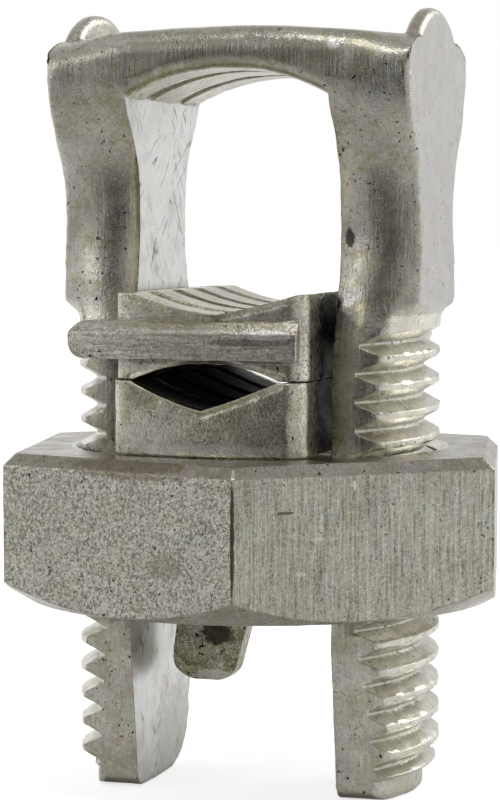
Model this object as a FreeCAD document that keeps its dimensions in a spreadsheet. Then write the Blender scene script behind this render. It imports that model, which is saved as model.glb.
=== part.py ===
import FreeCAD, Part
import math
import os

os.makedirs("parts", exist_ok=True)

V = FreeCAD.Vector
doc = FreeCAD.newDocument("split_bolt_connector")
sheet = doc.addObject("Spreadsheet::Sheet", "Sizes")

# Every size of the connector in mm or degrees. The bolt stands on its leg ends at height zero,
# its axis is Z, and the conductors run along Y.
SIZES = [
    # thread of the two legs
    ("thread_radius", 14.2, "crest radius of the leg thread"),
    ("thread_depth", 1.3, "crest to root"),
    ("thread_pitch", 2.1615, "rise of one turn, right hand"),
    ("crest_width", 0.5, "flat on each crest"),
    ("root_width", 0.2, "flat in each root"),
    ("thread_top", 36.7, "height where the turned diameter ends"),
    ("groove_height", 28.748, "height of one root on the +X side"),
    ("shoulder_round", 9.0, "radius of the turned shoulder above the thread"),
    ("pilot_height", 1.6, "plain end below the last crest"),
    ("thread_clearance", 0.16, "running clearance between bolt and nut flanks"),
    # legs of the bolt
    ("slot_width", 16.1, "gap between the two legs"),
    ("flats_width", 28.8, "across the outer flats of the legs"),
    ("end_depth", 13.0, "leg depth at its lower end"),
    ("leg_inner_depth", 15.8, "leg depth at its inner edge, threaded length"),
    ("leg_outer_depth", 12.4, "leg depth at its outer edge, threaded length"),
    ("waist_inner_depth", 11.0, "leg depth at its inner edge, waist"),
    ("waist_outer_depth", 10.6, "leg depth at its outer edge, waist"),
    ("leg_crown", 1.05, "swell of the leg faces along the thread"),
    ("waist_crown", 0.9, "swell of the leg faces at the waist"),
    ("outer_edge_round", 0.6, "rounding of the outer upright edges"),
    ("flats_allowance", 0.02, "metal that milling the outer flats takes off the forging"),
    ("taper_top", 13.0, "height where the taper of the leg end stops"),
    ("waist_length", 2.5, "length of the narrowest stretch of the legs"),
    ("head_flare", 9.7, "height over which the legs widen to the bridge"),
    ("inner_flare_delay", 1.3, "how much later the inner edges widen, as a power of the share"),
    ("head_front", 3.9, "height of the upright front of the bridge below its top"),
    ("end_front_round", 1.4, "corner radius of the leg end, front"),
    ("end_back_round", 5.2, "corner radius of the leg end, back"),
    ("end_back_relief", 0.3, "how much less the back of the leg end reaches"),
    # bridge, saddle and ears
    ("bridge_top", 59.1, "height of the bridge at its middle"),
    ("bridge_drop", 0.9, "how far the top falls to each side"),
    ("bridge_depth", 19.0, "depth of the bridge and its ears"),
    ("bridge_round", 2.0, "radius of the upper bridge edges"),
    ("bridge_thickness", 3.3, "bridge thickness over the middle of the saddle"),
    ("saddle_radius", 16.3, "radius of the saddle arch"),
    ("saddle_swing", 50, "swing of the saddle tool to each side in degrees"),
    ("saddle_flare", 1.2, "radius of the flared mouths of the saddle"),
    ("saddle_groove_pitch", 7.4, "spacing of the gripping grooves"),
    ("saddle_groove_width", 1.8, "width of a gripping groove"),
    ("saddle_groove_depth", 0.5, "depth of a gripping groove"),
    ("ear_rise", 1.6, "how far the ears stand above the middle of the bridge"),
    ("ear_crown_radius", 8.7, "radius of the ear tops"),
    ("ear_shoulder_round", 1.3, "radius of the ear shoulders"),
    ("ear_thickness", 1.5, "thickness of the ear plates"),
    ("ear_edge_round", 0.7, "rounding of the ear edges"),
    ("ear_crown_drop", 2.6, "height from the ear top down to the end of its crown"),
    ("ear_shoulder_slope", 25, "slope of the ear shoulders in degrees"),
    # hex nut
    ("nut_across_flats", 37.2, "wrench size"),
    ("nut_height", 11.8, "thickness of the nut"),
    ("nut_underside", 14.9, "height of its lower face in the photograph"),
    ("nut_angle", 41.7, "how far the nut is turned in the photograph"),
    ("nut_bevel", 0.85, "bevel along the upper edges"),
    ("nut_washer_share", 0.985, "lower face circle as a share of the wrench size"),
    ("nut_cone_rise", 2.2, "height of the lower chamfer at the corners"),
    ("nut_cone_swell", 0.12, "swell of the lower chamfer"),
    ("nut_bore_gap", 0.35, "how far the nut crests stay above the bolt roots"),
    ("nut_countersink", 0.7, "lead in at both ends of the nut thread"),
    # bars
    ("bar_clearance", 0.15, "gap from both bars to the left leg"),
    ("bar_play", 0.6, "further gap from both bars to the right leg"),
    ("bar_length", 26.8, "length of both bars along the conductors"),
    ("bar_corner", 1.5, "radius of the upright corners of the bars"),
    ("seat_gap", 0.05, "gap where one piece rests on the next"),
    ("press_height", 5.6, "height of the pressure bar"),
    ("press_groove_depth", 2.15, "depth of its V groove"),
    ("press_groove_shift", -0.2, "sideways place of the lowest line of its V"),
    ("press_ledge", 1.65, "flat to the left of its V"),
    ("press_far_ledge", 2.0, "flat to the right of its V"),
    ("spacer_height", 6.5, "height of the spacer bar"),
    ("spacer_groove_depth", 1.5, "depth of its upper V groove"),
    ("spacer_groove_shift", 0.8, "sideways place of the lowest line of its upper V"),
    ("spacer_ledge", 1.8, "flat to the left of its upper V"),
    ("spacer_far_ledge", 0.6, "flat to the right of its upper V"),
    ("spacer_hollow_depth", 1.35, "depth of its lower V"),
    ("spacer_setback", 0.8, "how far the spacer ends sit behind its lips"),
    ("lip_height", 2.9, "height of the lips that hold the spacer"),
    ("lip_underside", 1.55, "how far the lips sit above the spacer feet"),
    ("lip_reach", 3.35, "how far a lip reaches past the leg edge"),
    ("lip_clearance", 0.5, "gap from a lip to the face of its leg"),
    ("lip_stop", 0.5, "how far a lip stops short of the far side"),
    ("lip_end_round", 1.3, "radius of the free end of a lip"),
    ("lip_bevel_height", 0.9, "height of the bevel on top of a lip"),
    ("lip_bevel_depth", 0.7, "depth of the bevel on top of a lip"),
    ("rib_count", 4, "gripping grooves across each V"),
    ("rib_pitch", 5.4, "spacing of these grooves"),
    ("rib_radius", 1.3, "radius of these grooves"),
    ("rib_depth", 0.42, "depth of these grooves"),
    # tang of the pressure bar
    ("tang_length", 19.0, "reach of the tang below the pressure bar"),
    ("tang_root_width", 8.3, "width of the tang at the bar"),
    ("tang_tip_width", 5.2, "width of the tang near its end"),
    ("tang_root_shift", -0.45, "sideways place of the tang at the bar"),
    ("tang_lean", -3.9, "further sideways lean of the tang at its end"),
    ("tang_thickness", 1.9, "thickness of the tang"),
    ("tang_round", 1.9, "corner radius of the tang end"),
    ("tang_bevel", 0.95, "height of the bevel across the tang end"),
    ("tang_bevel_depth", 0.5, "depth of the bevel across the tang end"),
]
for row, (alias, value, meaning) in enumerate(SIZES, start=1):
    sheet.set("A%d" % row, meaning)
    sheet.set("B%d" % row, str(value))
    sheet.setAlias("B%d" % row, alias)
doc.recompute()


def size(alias):
    """Value of one named size."""
    return float(sheet.get(alias))


def feature(name, shape):
    """Solid whose form was worked out from the named sizes."""
    part = doc.addObject("Part::Feature", name)
    part.Shape = shape
    return part


def primitive(kind, name, **formulas):
    """Part primitive with every listed property bound to the sheet."""
    part = doc.addObject(kind, name)
    for prop, formula in formulas.items():
        part.setExpression(prop.replace("__", "."), formula)
    return part


def cut(name, base, tool):
    """Base with the tool taken away."""
    part = doc.addObject("Part::Cut", name)
    part.Base, part.Tool = base, tool
    return part


def joined(name, kind, shapes):
    """Fusion or common solid of several shapes."""
    part = doc.addObject(kind, name)
    part.Shapes = shapes
    return part


def blend(start, end, share):
    """Value between two levels, eased at both ends."""
    eased = share * share * (3 - 2 * share)
    return start + (end - start) * eased


def outline_face(edges):
    """Face inside a closed run of edges."""
    return Part.Face(Part.Wire(edges))


def polygon_face(points):
    """Face inside a closed polygon."""
    return Part.Face(Part.makePolygon(points + points[:1]))


# Named places shared by the pieces
half_slot = size("slot_width") / 2
half_flats = size("flats_width") / 2
root_radius = size("thread_radius") - size("thread_depth")
saddle_apex = size("bridge_top") - size("bridge_thickness")
saddle_centre = saddle_apex - size("saddle_radius")
saddle_corner = saddle_centre + math.sqrt(size("saddle_radius") ** 2 - half_slot ** 2)
ear_top = size("bridge_top") + size("ear_rise")
head_level = size("bridge_top") - size("head_front")
waist_end = head_level - size("head_flare")
waist_start = waist_end - size("waist_length")
thread_end = size("thread_top") - 2 * size("thread_pitch")
nut_top = size("nut_underside") + size("nut_height")
press_base = nut_top + size("seat_gap")
press_top = press_base + size("press_height")
spacer_base = press_top + size("seat_gap")
spacer_top = spacer_base + size("spacer_height")
bar_left = -half_slot + size("bar_clearance")
bar_right = half_slot - size("bar_clearance") - size("bar_play")
bar_middle = (bar_left + bar_right) / 2
bar_width = bar_right - bar_left
half_length = size("bar_length") / 2
leg_face = max(size("leg_inner_depth"), size("leg_outer_depth")) / 2 + size("leg_crown") / 4
margin = size("thread_pitch")
near = size("bar_clearance") / 10


# Split bolt, forged blank
def leg_levels(height):
    """Inner depth, outer depth and crown of a leg at one height."""
    leg = (size("leg_inner_depth"), size("leg_outer_depth"), size("leg_crown"))
    waist = (size("waist_inner_depth"), size("waist_outer_depth"), size("waist_crown"))
    head = (size("bridge_depth"), size("bridge_depth"), 0)
    if height <= waist_start:
        share = max(height - thread_end, 0) / (waist_start - thread_end)
        return [blend(a, b, share) for a, b in zip(leg, waist)]
    share = max(height - waist_end, 0) / (head_level - waist_end)
    inner_share = share ** size("inner_flare_delay")
    return [blend(waist[0], head[0], inner_share)] + [blend(a, b, share) for a, b in zip(waist[1:], head[1:])]


def leg_section(height):
    """Right half of the forging across its length: flat in the middle, which the slot takes away, then a
    swelling leg with rounded outer corners."""
    inner, outer, crown = leg_levels(height)
    middle = (half_slot + half_flats) / 2
    swell = (inner + outer) / 4 + crown
    inside = half_slot - size("bar_play")
    corner = size("outer_edge_round")
    outside = half_flats + size("flats_allowance")
    turn = outside - corner
    if crown > near:
        bow = Part.Circle(V(half_slot, inner / 2, 0), V(middle, swell, 0), V(half_flats, outer / 2, 0))
        centre, radius = bow.Center, bow.Radius

        def bowed(x):
            """Half depth of the swelling face at one place across the leg."""
            return centre.y + math.sqrt(radius ** 2 - (x - centre.x) ** 2)
    else:
        def bowed(x):
            """Half depth of the flat face."""
            return inner / 2
    back = [V(inside, bowed(inside), height), V(middle, bowed(middle), height), V(turn, bowed(turn), height)]
    if crown <= near:
        back[1] = V((inside + turn) / 2, inner / 2 + near / 10, height)
    rim = back[2].y - corner
    cut45 = corner * (1 - math.sqrt(0.5))
    round_back = [back[2], V(outside - cut45, back[2].y - cut45, height), V(outside, rim, height)]
    mirrored = [[V(p.x, -p.y, p.z) for p in arc] for arc in (back, round_back)]
    front, round_front = mirrored
    centre_back = V(0, back[0].y, height)
    centre_front = V(0, front[0].y, height)
    return Part.Wire([
        Part.makeLine(centre_back, back[0]),
        Part.Arc(*back).toShape(),
        Part.Arc(*round_back).toShape(),
        Part.makeLine(round_back[2], round_front[2]),
        Part.Arc(*reversed(round_front)).toShape(),
        Part.Arc(*reversed(front)).toShape(),
        Part.makeLine(front[0], centre_front),
        Part.makeLine(centre_front, centre_back),
    ])


def leg_stations():
    """Heights of the leg sections, closer together where the form changes faster."""
    zones = [(thread_end, waist_start, 3), (waist_start, waist_end, 1), (waist_end, head_level, 4)]
    heights = [low + (high - low) * k / steps for low, high, steps in zones for k in range(steps)]
    return heights + [head_level]


threaded_stretch = Part.Face(leg_section(thread_end)).extrude(V(0, 0, -thread_end - margin))
leg_lower = feature("leg_lower", threaded_stretch)
leg_upper = feature("leg_upper", Part.makeLoft([leg_section(h) for h in leg_stations()], True, False))
leg_form = joined("leg_form", "Part::MultiFuse", [leg_lower, leg_upper])
leg_mirrored = doc.addObject("Part::Mirroring", "leg_mirrored")
leg_mirrored.Source = leg_form
leg_mirrored.Normal = V(1, 0, 0)


def bridge_shape():
    """Bridge over both legs: a section with round upper edges, swept along the bow of its top."""
    drop, top = size("bridge_drop"), size("bridge_top")
    bow = (half_flats ** 2 + drop ** 2) / (2 * drop)
    side, corner = size("bridge_depth") / 2, size("bridge_round")
    cut45 = corner * (1 - math.sqrt(0.5))
    low = head_level - 2 * drop
    section = outline_face([
        Part.makeLine(V(0, -side, low), V(0, -side, top - corner)),
        Part.Arc(V(0, -side, top - corner), V(0, -side + cut45, top - cut45), V(0, -side + corner, top)).toShape(),
        Part.makeLine(V(0, -side + corner, top), V(0, side - corner, top)),
        Part.Arc(V(0, side - corner, top), V(0, side - cut45, top - cut45), V(0, side, top - corner)).toShape(),
        Part.makeLine(V(0, side, top - corner), V(0, side, low)),
        Part.makeLine(V(0, side, low), V(0, -side, low)),
    ])
    swing = math.degrees(math.asin(size("flats_width") / bow))
    section.rotate(V(0, 0, top - bow), V(0, 1, 0), -swing)
    bar = section.revolve(V(0, 0, top - bow), V(0, 1, 0), 2 * swing)
    plan = Part.makeBox(size("flats_width"), 2 * side, top, V(-half_flats, -side, head_level))
    upright = [e for e in plan.Edges if e.BoundBox.ZLength > top / 2]
    return bar.common(plan.makeFillet(size("outer_edge_round"), upright))


bridge = feature("bridge", bridge_shape())
forging = joined("forging", "Part::MultiFuse", [leg_form, leg_mirrored, bridge])


# Split bolt, turned and sawn faces
def turned_envelope():
    """Everything the lathe leaves: pilot, thread diameter and rounded shoulder."""
    crest, top = size("thread_radius"), size("thread_top")
    reach, ceiling = size("flats_width"), ear_top + margin
    pilot, depth = size("pilot_height"), size("thread_depth")
    bend = size("shoulder_round")
    c45 = math.sqrt(0.5)
    shoulder = Part.Arc(V(crest, 0, top), V(crest + bend * (1 - c45), 0, top + bend * c45),
                        V(crest + bend, 0, top + bend))
    edges = [
        Part.makeLine(V(0, 0, 0), V(root_radius, 0, 0)),
        Part.makeLine(V(root_radius, 0, 0), V(root_radius, 0, pilot)),
        Part.Arc(V(root_radius, 0, pilot), V(root_radius + depth * c45, 0, pilot + depth * (1 - c45)),
                 V(crest, 0, pilot + depth)).toShape(),
        Part.makeLine(V(crest, 0, pilot + depth), V(crest, 0, top)),
        shoulder.toShape(),
        Part.makeLine(V(crest + bend, 0, top + bend), V(reach + bend, 0, top + bend)),
        Part.makeLine(V(reach + bend, 0, top + bend), V(reach + bend, 0, ceiling)),
        Part.makeLine(V(reach + bend, 0, ceiling), V(0, 0, ceiling)),
        Part.makeLine(V(0, 0, ceiling), V(0, 0, 0)),
    ]
    return outline_face(edges).revolve(V(0, 0, 0), V(0, 0, 1), 360)


def end_envelope():
    """Tapered and rounded ends of the legs, seen along X."""
    front = -size("end_depth") / 2
    back = size("end_depth") / 2 - size("end_back_relief")
    near_round, far_round = size("end_front_round"), size("end_back_round")
    full, flare = leg_face, size("taper_top")
    wide, tall = size("bridge_depth"), ear_top + margin
    c45 = math.sqrt(0.5)
    edges = [
        Part.makeLine(V(0, -wide, tall), V(0, -wide, flare)),
        Part.makeLine(V(0, -wide, flare), V(0, -full, flare)),
        Part.makeLine(V(0, -full, flare), V(0, front, near_round)),
        Part.Arc(V(0, front, near_round), V(0, front + near_round * (1 - c45), near_round * (1 - c45)),
                 V(0, front + near_round, 0)).toShape(),
        Part.makeLine(V(0, front + near_round, 0), V(0, back - far_round, 0)),
        Part.Arc(V(0, back - far_round, 0), V(0, back - far_round * (1 - c45), far_round * (1 - c45)),
                 V(0, back, far_round)).toShape(),
        Part.makeLine(V(0, back, far_round), V(0, full, flare)),
        Part.makeLine(V(0, full, flare), V(0, wide, flare)),
        Part.makeLine(V(0, wide, flare), V(0, wide, tall)),
        Part.makeLine(V(0, wide, tall), V(0, -wide, tall)),
    ]
    prism = outline_face(edges).extrude(V(size("flats_width"), 0, 0))
    prism.translate(V(-half_flats, 0, 0))
    return prism


turned = joined("turned", "Part::MultiCommon",
                [forging, feature("lathe_envelope", turned_envelope()),
                 feature("end_rounding", end_envelope())])

slot_tool = primitive("Part::Box", "slot_tool", Length="Sizes.slot_width", Width="2 * Sizes.bridge_depth",
                      Placement__Base__x="-Sizes.slot_width / 2", Placement__Base__y="-Sizes.bridge_depth",
                      Height="Sizes.bridge_top - Sizes.bridge_thickness - Sizes.saddle_radius + Sizes.slot_width / 2"
                             " + Sizes.thread_pitch",
                      Placement__Base__z="-Sizes.thread_pitch")


def saddle_roller():
    """Grooved roller with flared ends that leaves the gripping saddle under the bridge."""
    radius, flare = size("saddle_radius"), size("saddle_flare")
    edge = size("bridge_depth") / 2
    land_end = edge - flare
    half_groove = size("saddle_groove_width") / 2
    grooves = [k * size("saddle_groove_pitch") for k in (-0.5, 0.5)]
    deep = radius + size("saddle_groove_depth")

    def at(y, r):
        return V(0, y, saddle_centre + r)

    c45 = math.sqrt(0.5)
    beyond = edge + margin
    edges = [Part.makeLine(at(-beyond, 0), at(-beyond, radius + flare)),
             Part.makeLine(at(-beyond, radius + flare), at(-edge, radius + flare)),
             Part.Arc(at(-edge, radius + flare), at(-edge + flare * (1 - c45), radius + flare * (1 - c45)),
                      at(-land_end, radius)).toShape()]
    here = at(-land_end, radius)
    for y in grooves:
        start, end = at(y - half_groove, radius), at(y + half_groove, radius)
        edges += [Part.makeLine(here, start), Part.Arc(start, at(y, deep), end).toShape()]
        here = end
    edges += [Part.makeLine(here, at(land_end, radius)),
              Part.Arc(at(land_end, radius), at(edge - flare * (1 - c45), radius + flare * (1 - c45)),
                       at(edge, radius + flare)).toShape(),
              Part.makeLine(at(edge, radius + flare), at(beyond, radius + flare)),
              Part.makeLine(at(beyond, radius + flare), at(beyond, 0)),
              Part.makeLine(at(beyond, 0), at(-beyond, 0))]
    profile = outline_face(edges)
    swing = size("saddle_swing")
    profile.rotate(V(0, 0, saddle_centre), V(0, 1, 0), -swing)
    roller = profile.revolve(V(0, 0, saddle_centre), V(0, 1, 0), 2 * swing)
    reach = 4 * size("saddle_radius")
    keep = Part.makeBox(size("slot_width"), reach, reach, V(-half_slot, -reach / 2, saddle_centre))
    return roller.common(keep)


window_tool = joined("window_tool", "Part::MultiFuse", [slot_tool, feature("saddle_tool", saddle_roller())])
legs_open = cut("legs_open", turned, window_tool)


# Threads
def helix_sweep(radii, half_widths, low, turns, start_angle):
    """Solid swept along a right hand helix, turn by turn. It runs clear of the metal at both ends."""
    pitch = size("thread_pitch")
    inner, outer = radii
    at_inner, at_outer = half_widths
    path = []
    for turn in range(turns):
        rise = Part.makeHelix(pitch, pitch, outer)
        rise.translate(V(0, 0, turn * pitch))
        path.append(rise.Edges[0])
    profile = Part.makePolygon([V(inner, 0, -at_inner), V(outer, 0, -at_outer), V(outer, 0, at_outer),
                                V(inner, 0, at_inner), V(inner, 0, -at_inner)])
    solid = Part.Wire(path).makePipeShell([profile], True, True)
    if solid.Volume < 0:
        solid.reverse()
    solid.rotate(V(0, 0, 0), V(0, 0, 1), start_angle)
    solid.translate(V(0, 0, low))
    return solid


def groove_half_width(radius):
    """Half width of the bolt groove at one radius."""
    crest_half = (size("thread_pitch") - size("crest_width")) / 2
    share = (radius - root_radius) / size("thread_depth")
    return size("root_width") / 2 + (crest_half - size("root_width") / 2) * share


def bolt_thread_tool():
    """Groove of the bolt thread. It starts and ends between the legs."""
    pitch = size("thread_pitch")
    quarter = size("groove_height") + pitch / 4
    below = math.ceil((quarter + pitch) / pitch)
    above = math.floor((size("thread_top") - quarter) / pitch)
    outer = size("thread_radius") + size("crest_width") / 2
    return helix_sweep((root_radius, outer), (groove_half_width(root_radius), groove_half_width(outer)),
                       quarter - below * pitch, below + above, 90)


split_bolt_threaded = cut("split_bolt_threaded", legs_open, feature("bolt_thread_tool", bolt_thread_tool()))


# Ears
def ear_shape():
    """Ear plate with a crowned top and rounded shoulders."""
    half = size("bridge_depth") / 2
    crown, top = size("ear_crown_radius"), ear_top
    base = head_level
    crown_centre = top - crown
    shoulder_slope = math.radians(size("ear_shoulder_slope"))
    turn_z = top - size("ear_crown_drop")
    turn_y = math.sqrt(crown ** 2 - (turn_z - crown_centre) ** 2)
    shoulder_z = turn_z - (half - turn_y) * math.tan(shoulder_slope)
    edges = [
        Part.Arc(V(0, -turn_y, turn_z), V(0, 0, top), V(0, turn_y, turn_z)).toShape(),
        Part.makeLine(V(0, turn_y, turn_z), V(0, half, shoulder_z)),
        Part.makeLine(V(0, half, shoulder_z), V(0, half, base)),
        Part.makeLine(V(0, half, base), V(0, -half, base)),
        Part.makeLine(V(0, -half, base), V(0, -half, shoulder_z)),
        Part.makeLine(V(0, -half, shoulder_z), V(0, -turn_y, turn_z)),
    ]
    plate = outline_face(edges).extrude(V(size("ear_thickness"), 0, 0))
    corners = [e for e in plate.Edges if abs(abs(e.CenterOfMass.y) - half) < near
               and abs(e.CenterOfMass.z - shoulder_z) < near]
    plate = plate.makeFillet(size("ear_shoulder_round"), corners)
    rim = [e for e in plate.Edges if e.BoundBox.XLength < near and e.CenterOfMass.z > shoulder_z]
    plate = plate.makeFillet(size("ear_edge_round"), rim)
    plate.translate(V(half_flats - size("ear_thickness"), 0, 0))
    return plate


ear_right = feature("ear_right", ear_shape())
ear_left = doc.addObject("Part::Mirroring", "ear_left")
ear_left.Source = ear_right
ear_left.Normal = V(1, 0, 0)
split_bolt = joined("split_bolt", "Part::MultiFuse", [split_bolt_threaded, ear_right, ear_left])

# Hex nut
nut_prism = primitive("Part::Prism", "nut_prism", Circumradius="Sizes.nut_across_flats / sqrt(3)",
                      Height="Sizes.nut_height", Placement__Base__z="Sizes.nut_underside",
                      Placement__Rotation__Angle="Sizes.nut_angle")
nut_prism.Polygon = 6
doc.recompute()
upper_edges = [n for n, e in enumerate(nut_prism.Shape.Edges, start=1)
               if abs(e.BoundBox.ZMin - nut_top) < near]
nut_bevelled = doc.addObject("Part::Chamfer", "nut_bevelled")
nut_bevelled.Base = nut_prism
nut_bevelled.Edges = [(n, size("nut_bevel"), size("nut_bevel")) for n in upper_edges]


def nut_turning():
    """Body left by turning: a washer circle below and a slightly swelling chamfer up to the corners."""
    washer = size("nut_across_flats") * size("nut_washer_share") / 2
    corner = size("nut_across_flats") / math.sqrt(3)
    low, rise = size("nut_underside"), size("nut_cone_rise")
    grow = 2 * (corner - washer)
    swell = size("nut_cone_swell")
    chamfer = Part.Arc(V(washer, 0, low), V(washer + grow / 2 + swell, 0, low + rise - swell),
                       V(washer + grow, 0, low + 2 * rise))
    edges = [
        Part.makeLine(V(0, 0, low), V(washer, 0, low)),
        chamfer.toShape(),
        Part.makeLine(V(washer + grow, 0, low + 2 * rise), V(washer + grow, 0, nut_top + margin)),
        Part.makeLine(V(washer + grow, 0, nut_top + margin), V(0, 0, nut_top + margin)),
        Part.makeLine(V(0, 0, nut_top + margin), V(0, 0, low)),
    ]
    return outline_face(edges).revolve(V(0, 0, 0), V(0, 0, 1), 360)


nut_cone = feature("nut_cone", nut_turning())
nut_blank = joined("nut_blank", "Part::MultiCommon", [nut_bevelled, nut_cone])
nut_bore = primitive("Part::Cylinder", "nut_bore",
                     Radius="Sizes.thread_radius - Sizes.thread_depth + Sizes.nut_bore_gap",
                     Height="Sizes.nut_height + 2 * Sizes.thread_pitch",
                     Placement__Base__z="Sizes.nut_underside - Sizes.thread_pitch")


def nut_lead_ins():
    """Countersinks at both ends of the nut thread."""
    wide = size("thread_radius") + size("thread_clearance") + size("crest_width") / 2
    depth = size("nut_countersink")
    upper = Part.makeCone(wide - depth, wide, depth, V(0, 0, nut_top - depth))
    lower = Part.makeCone(wide, wide - depth, depth, V(0, 0, size("nut_underside")))
    return upper.fuse(lower)


def nut_thread_tool():
    """Groove of the nut thread: the bolt crests with their running clearance."""
    pitch = size("thread_pitch")
    flank = math.hypot(1, (groove_half_width(size("thread_radius")) - groove_half_width(root_radius))
                       / size("thread_depth"))
    inner = root_radius
    outer = size("thread_radius") + size("thread_clearance")

    def half_width(radius):
        return pitch / 2 - groove_half_width(radius) + size("thread_clearance") * flank

    bore_radius = root_radius + size("nut_bore_gap")
    widest = half_width(bore_radius)
    slope = (half_width(outer) - widest) / (outer - bore_radius)
    inner = bore_radius - size("thread_clearance")
    crest = size("groove_height") + pitch / 2
    quarter = crest + pitch / 4
    below = math.ceil((quarter - size("nut_underside")) / pitch) + 1
    turns = math.ceil(size("nut_height") / pitch) + 3
    return helix_sweep((inner, outer), (widest + slope * (inner - bore_radius), half_width(outer)),
                       quarter - below * pitch, turns, 90)


nut_tools = joined("nut_tools", "Part::MultiFuse", [nut_bore, feature("nut_lead_ins", nut_lead_ins())])
nut_bored = cut("nut_bored", nut_blank, nut_tools)
hex_nut = cut("hex_nut", nut_bored, feature("nut_thread_tool", nut_thread_tool()))


# Bars
def bar_block(low, height, setback):
    """Plain bar with rounded upright corners."""
    depth = half_length - setback
    block = Part.makeBox(bar_width, 2 * depth, height, V(bar_left, -depth, low))
    upright = [e for e in block.Edges if e.BoundBox.ZLength > height / 2]
    return block.makeFillet(size("bar_corner"), upright)


def v_wedge(floor, rise, shift, ledges, up):
    """Wedge along Y that leaves a V with ledges beside it. It opens up or down."""
    sign = 1 if up else -1
    lowest = bar_middle + shift
    left, right = bar_left + ledges[0], bar_right - ledges[1]
    brim = floor + sign * rise
    over = brim + sign * size("press_height")
    face = polygon_face([V(lowest, -half_length, floor), V(right, -half_length, brim),
                         V(right, -half_length, over), V(left, -half_length, over),
                         V(left, -half_length, brim)])
    return face.extrude(V(0, size("bar_length"), 0))


def v_ribs(floor, rise, shift, ledges, up):
    """Round gripping grooves across both flanks of a V."""
    sign = 1 if up else -1
    lowest = bar_middle + shift
    radius, depth = size("rib_radius"), size("rib_depth")
    count, pitch = int(size("rib_count")), size("rib_pitch")
    tools = []
    for side_x in (bar_left + ledges[0], bar_right - ledges[1]):
        along = V(side_x - lowest, 0, sign * rise)
        length = along.Length
        along.normalize()
        normal = V(-along.z, 0, along.x)
        if normal.z * sign < 0:
            normal = normal * -1
        start = V(lowest, 0, floor) + normal * (radius - depth) - along * depth
        for k in range(count):
            y = (k - (count - 1) / 2) * pitch
            tools.append(Part.makeCylinder(radius, length + max(ledges) + depth, start + V(0, y, 0), along))
    return tools[0].multiFuse(tools[1:])


press_floor = press_top - size("press_groove_depth")
press_ledges = (size("press_ledge"), size("press_far_ledge"))
press_v = (press_floor, size("press_groove_depth"), size("press_groove_shift"), press_ledges, True)


def tang_shape():
    """Leaning tang below the pressure bar with a rounded, bevelled end."""
    low = press_base - size("tang_length")
    root_z = press_base + size("press_height") / 4
    root, tip = size("tang_root_width") / 2, size("tang_tip_width") / 2
    root_middle = bar_middle + size("tang_root_shift")
    tip_middle = root_middle + size("tang_lean")
    half = size("tang_thickness") / 2
    face = polygon_face([V(root_middle - root, -half, root_z), V(root_middle + root, -half, root_z),
                         V(tip_middle + tip, -half, low), V(tip_middle - tip, -half, low)])
    plate = face.extrude(V(0, 2 * half, 0))
    corners = [e for e in plate.Edges if e.BoundBox.YLength > half and e.CenterOfMass.z < low + half]
    plate = plate.makeFillet(min(size("tang_round"), tip - near), corners)
    bevel_high, bevel_deep = size("tang_bevel"), size("tang_bevel_depth")
    reach = size("tang_root_width") + abs(size("tang_lean"))
    corner = [V(0, -half - bevel_deep, low - bevel_high), V(0, -half - bevel_deep, low + 2 * bevel_high),
              V(0, -half + bevel_deep, low)]
    bevel = polygon_face([corner[0], corner[1], corner[2], V(0, -half + bevel_deep, low - bevel_high)])
    bevel = bevel.extrude(V(2 * reach, 0, 0))
    bevel.translate(V(-reach, 0, 0))
    return plate.cut(bevel)


press_block = feature("press_block", bar_block(press_base, size("press_height"), 0))
press_tools = joined("press_tools", "Part::MultiFuse",
                     [feature("press_wedge", v_wedge(*press_v)), feature("press_ribs", v_ribs(*press_v))])
press_grooved = cut("press_grooved", press_block, press_tools)
pressure_bar = joined("pressure_bar", "Part::MultiFuse", [press_grooved, feature("tang", tang_shape())])

spacer_floor = spacer_top - size("spacer_groove_depth")
spacer_ledges = (size("spacer_ledge"), size("spacer_far_ledge"))
spacer_v = (spacer_floor, size("spacer_groove_depth"), size("spacer_groove_shift"), spacer_ledges, True)
hollow_floor = spacer_base + size("spacer_hollow_depth")
hollow_v = (hollow_floor, size("spacer_hollow_depth"), 0, press_ledges, False)


def lip_shape():
    """Front lip of the spacer. It reaches in front of the left leg with a round end."""
    inner_face = -(leg_face + size("lip_clearance"))
    height = size("lip_height")
    low = spacer_base + size("lip_underside")
    left = -half_slot - size("lip_reach")
    right = bar_right - size("lip_stop")
    bevel = size("lip_bevel_height")
    profile = polygon_face([V(left, -half_length, low), V(left, inner_face, low), V(left, inner_face, low + height),
                            V(left, -half_length + size("lip_bevel_depth"), low + height),
                            V(left, -half_length, low + height - bevel)])
    lip = profile.extrude(V(right - left, 0, 0))
    ends = [e for e in lip.Edges if e.BoundBox.YLength > half_length / 4 and abs(e.CenterOfMass.x - left) < near]
    return lip.makeFillet(min(size("lip_end_round"), height / 2 - near), ends)


spacer_block = feature("spacer_block", bar_block(spacer_base, size("spacer_height"), size("spacer_setback")))
lip_front = feature("lip_front", lip_shape())
lip_turned = lip_shape()
lip_turned.rotate(V(bar_middle, 0, 0), V(0, 0, 1), 180)
lip_back = feature("lip_back", lip_turned)
spacer_tools = joined("spacer_tools", "Part::MultiFuse",
                      [feature("spacer_wedge", v_wedge(*spacer_v)), feature("spacer_ribs", v_ribs(*spacer_v)),
                       feature("hollow_wedge", v_wedge(*hollow_v)), feature("hollow_ribs", v_ribs(*hollow_v))])
spacer_joined = joined("spacer_joined", "Part::MultiFuse", [spacer_block, lip_front, lip_back])
spacer_bar = cut("spacer_bar", spacer_joined, spacer_tools)

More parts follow.
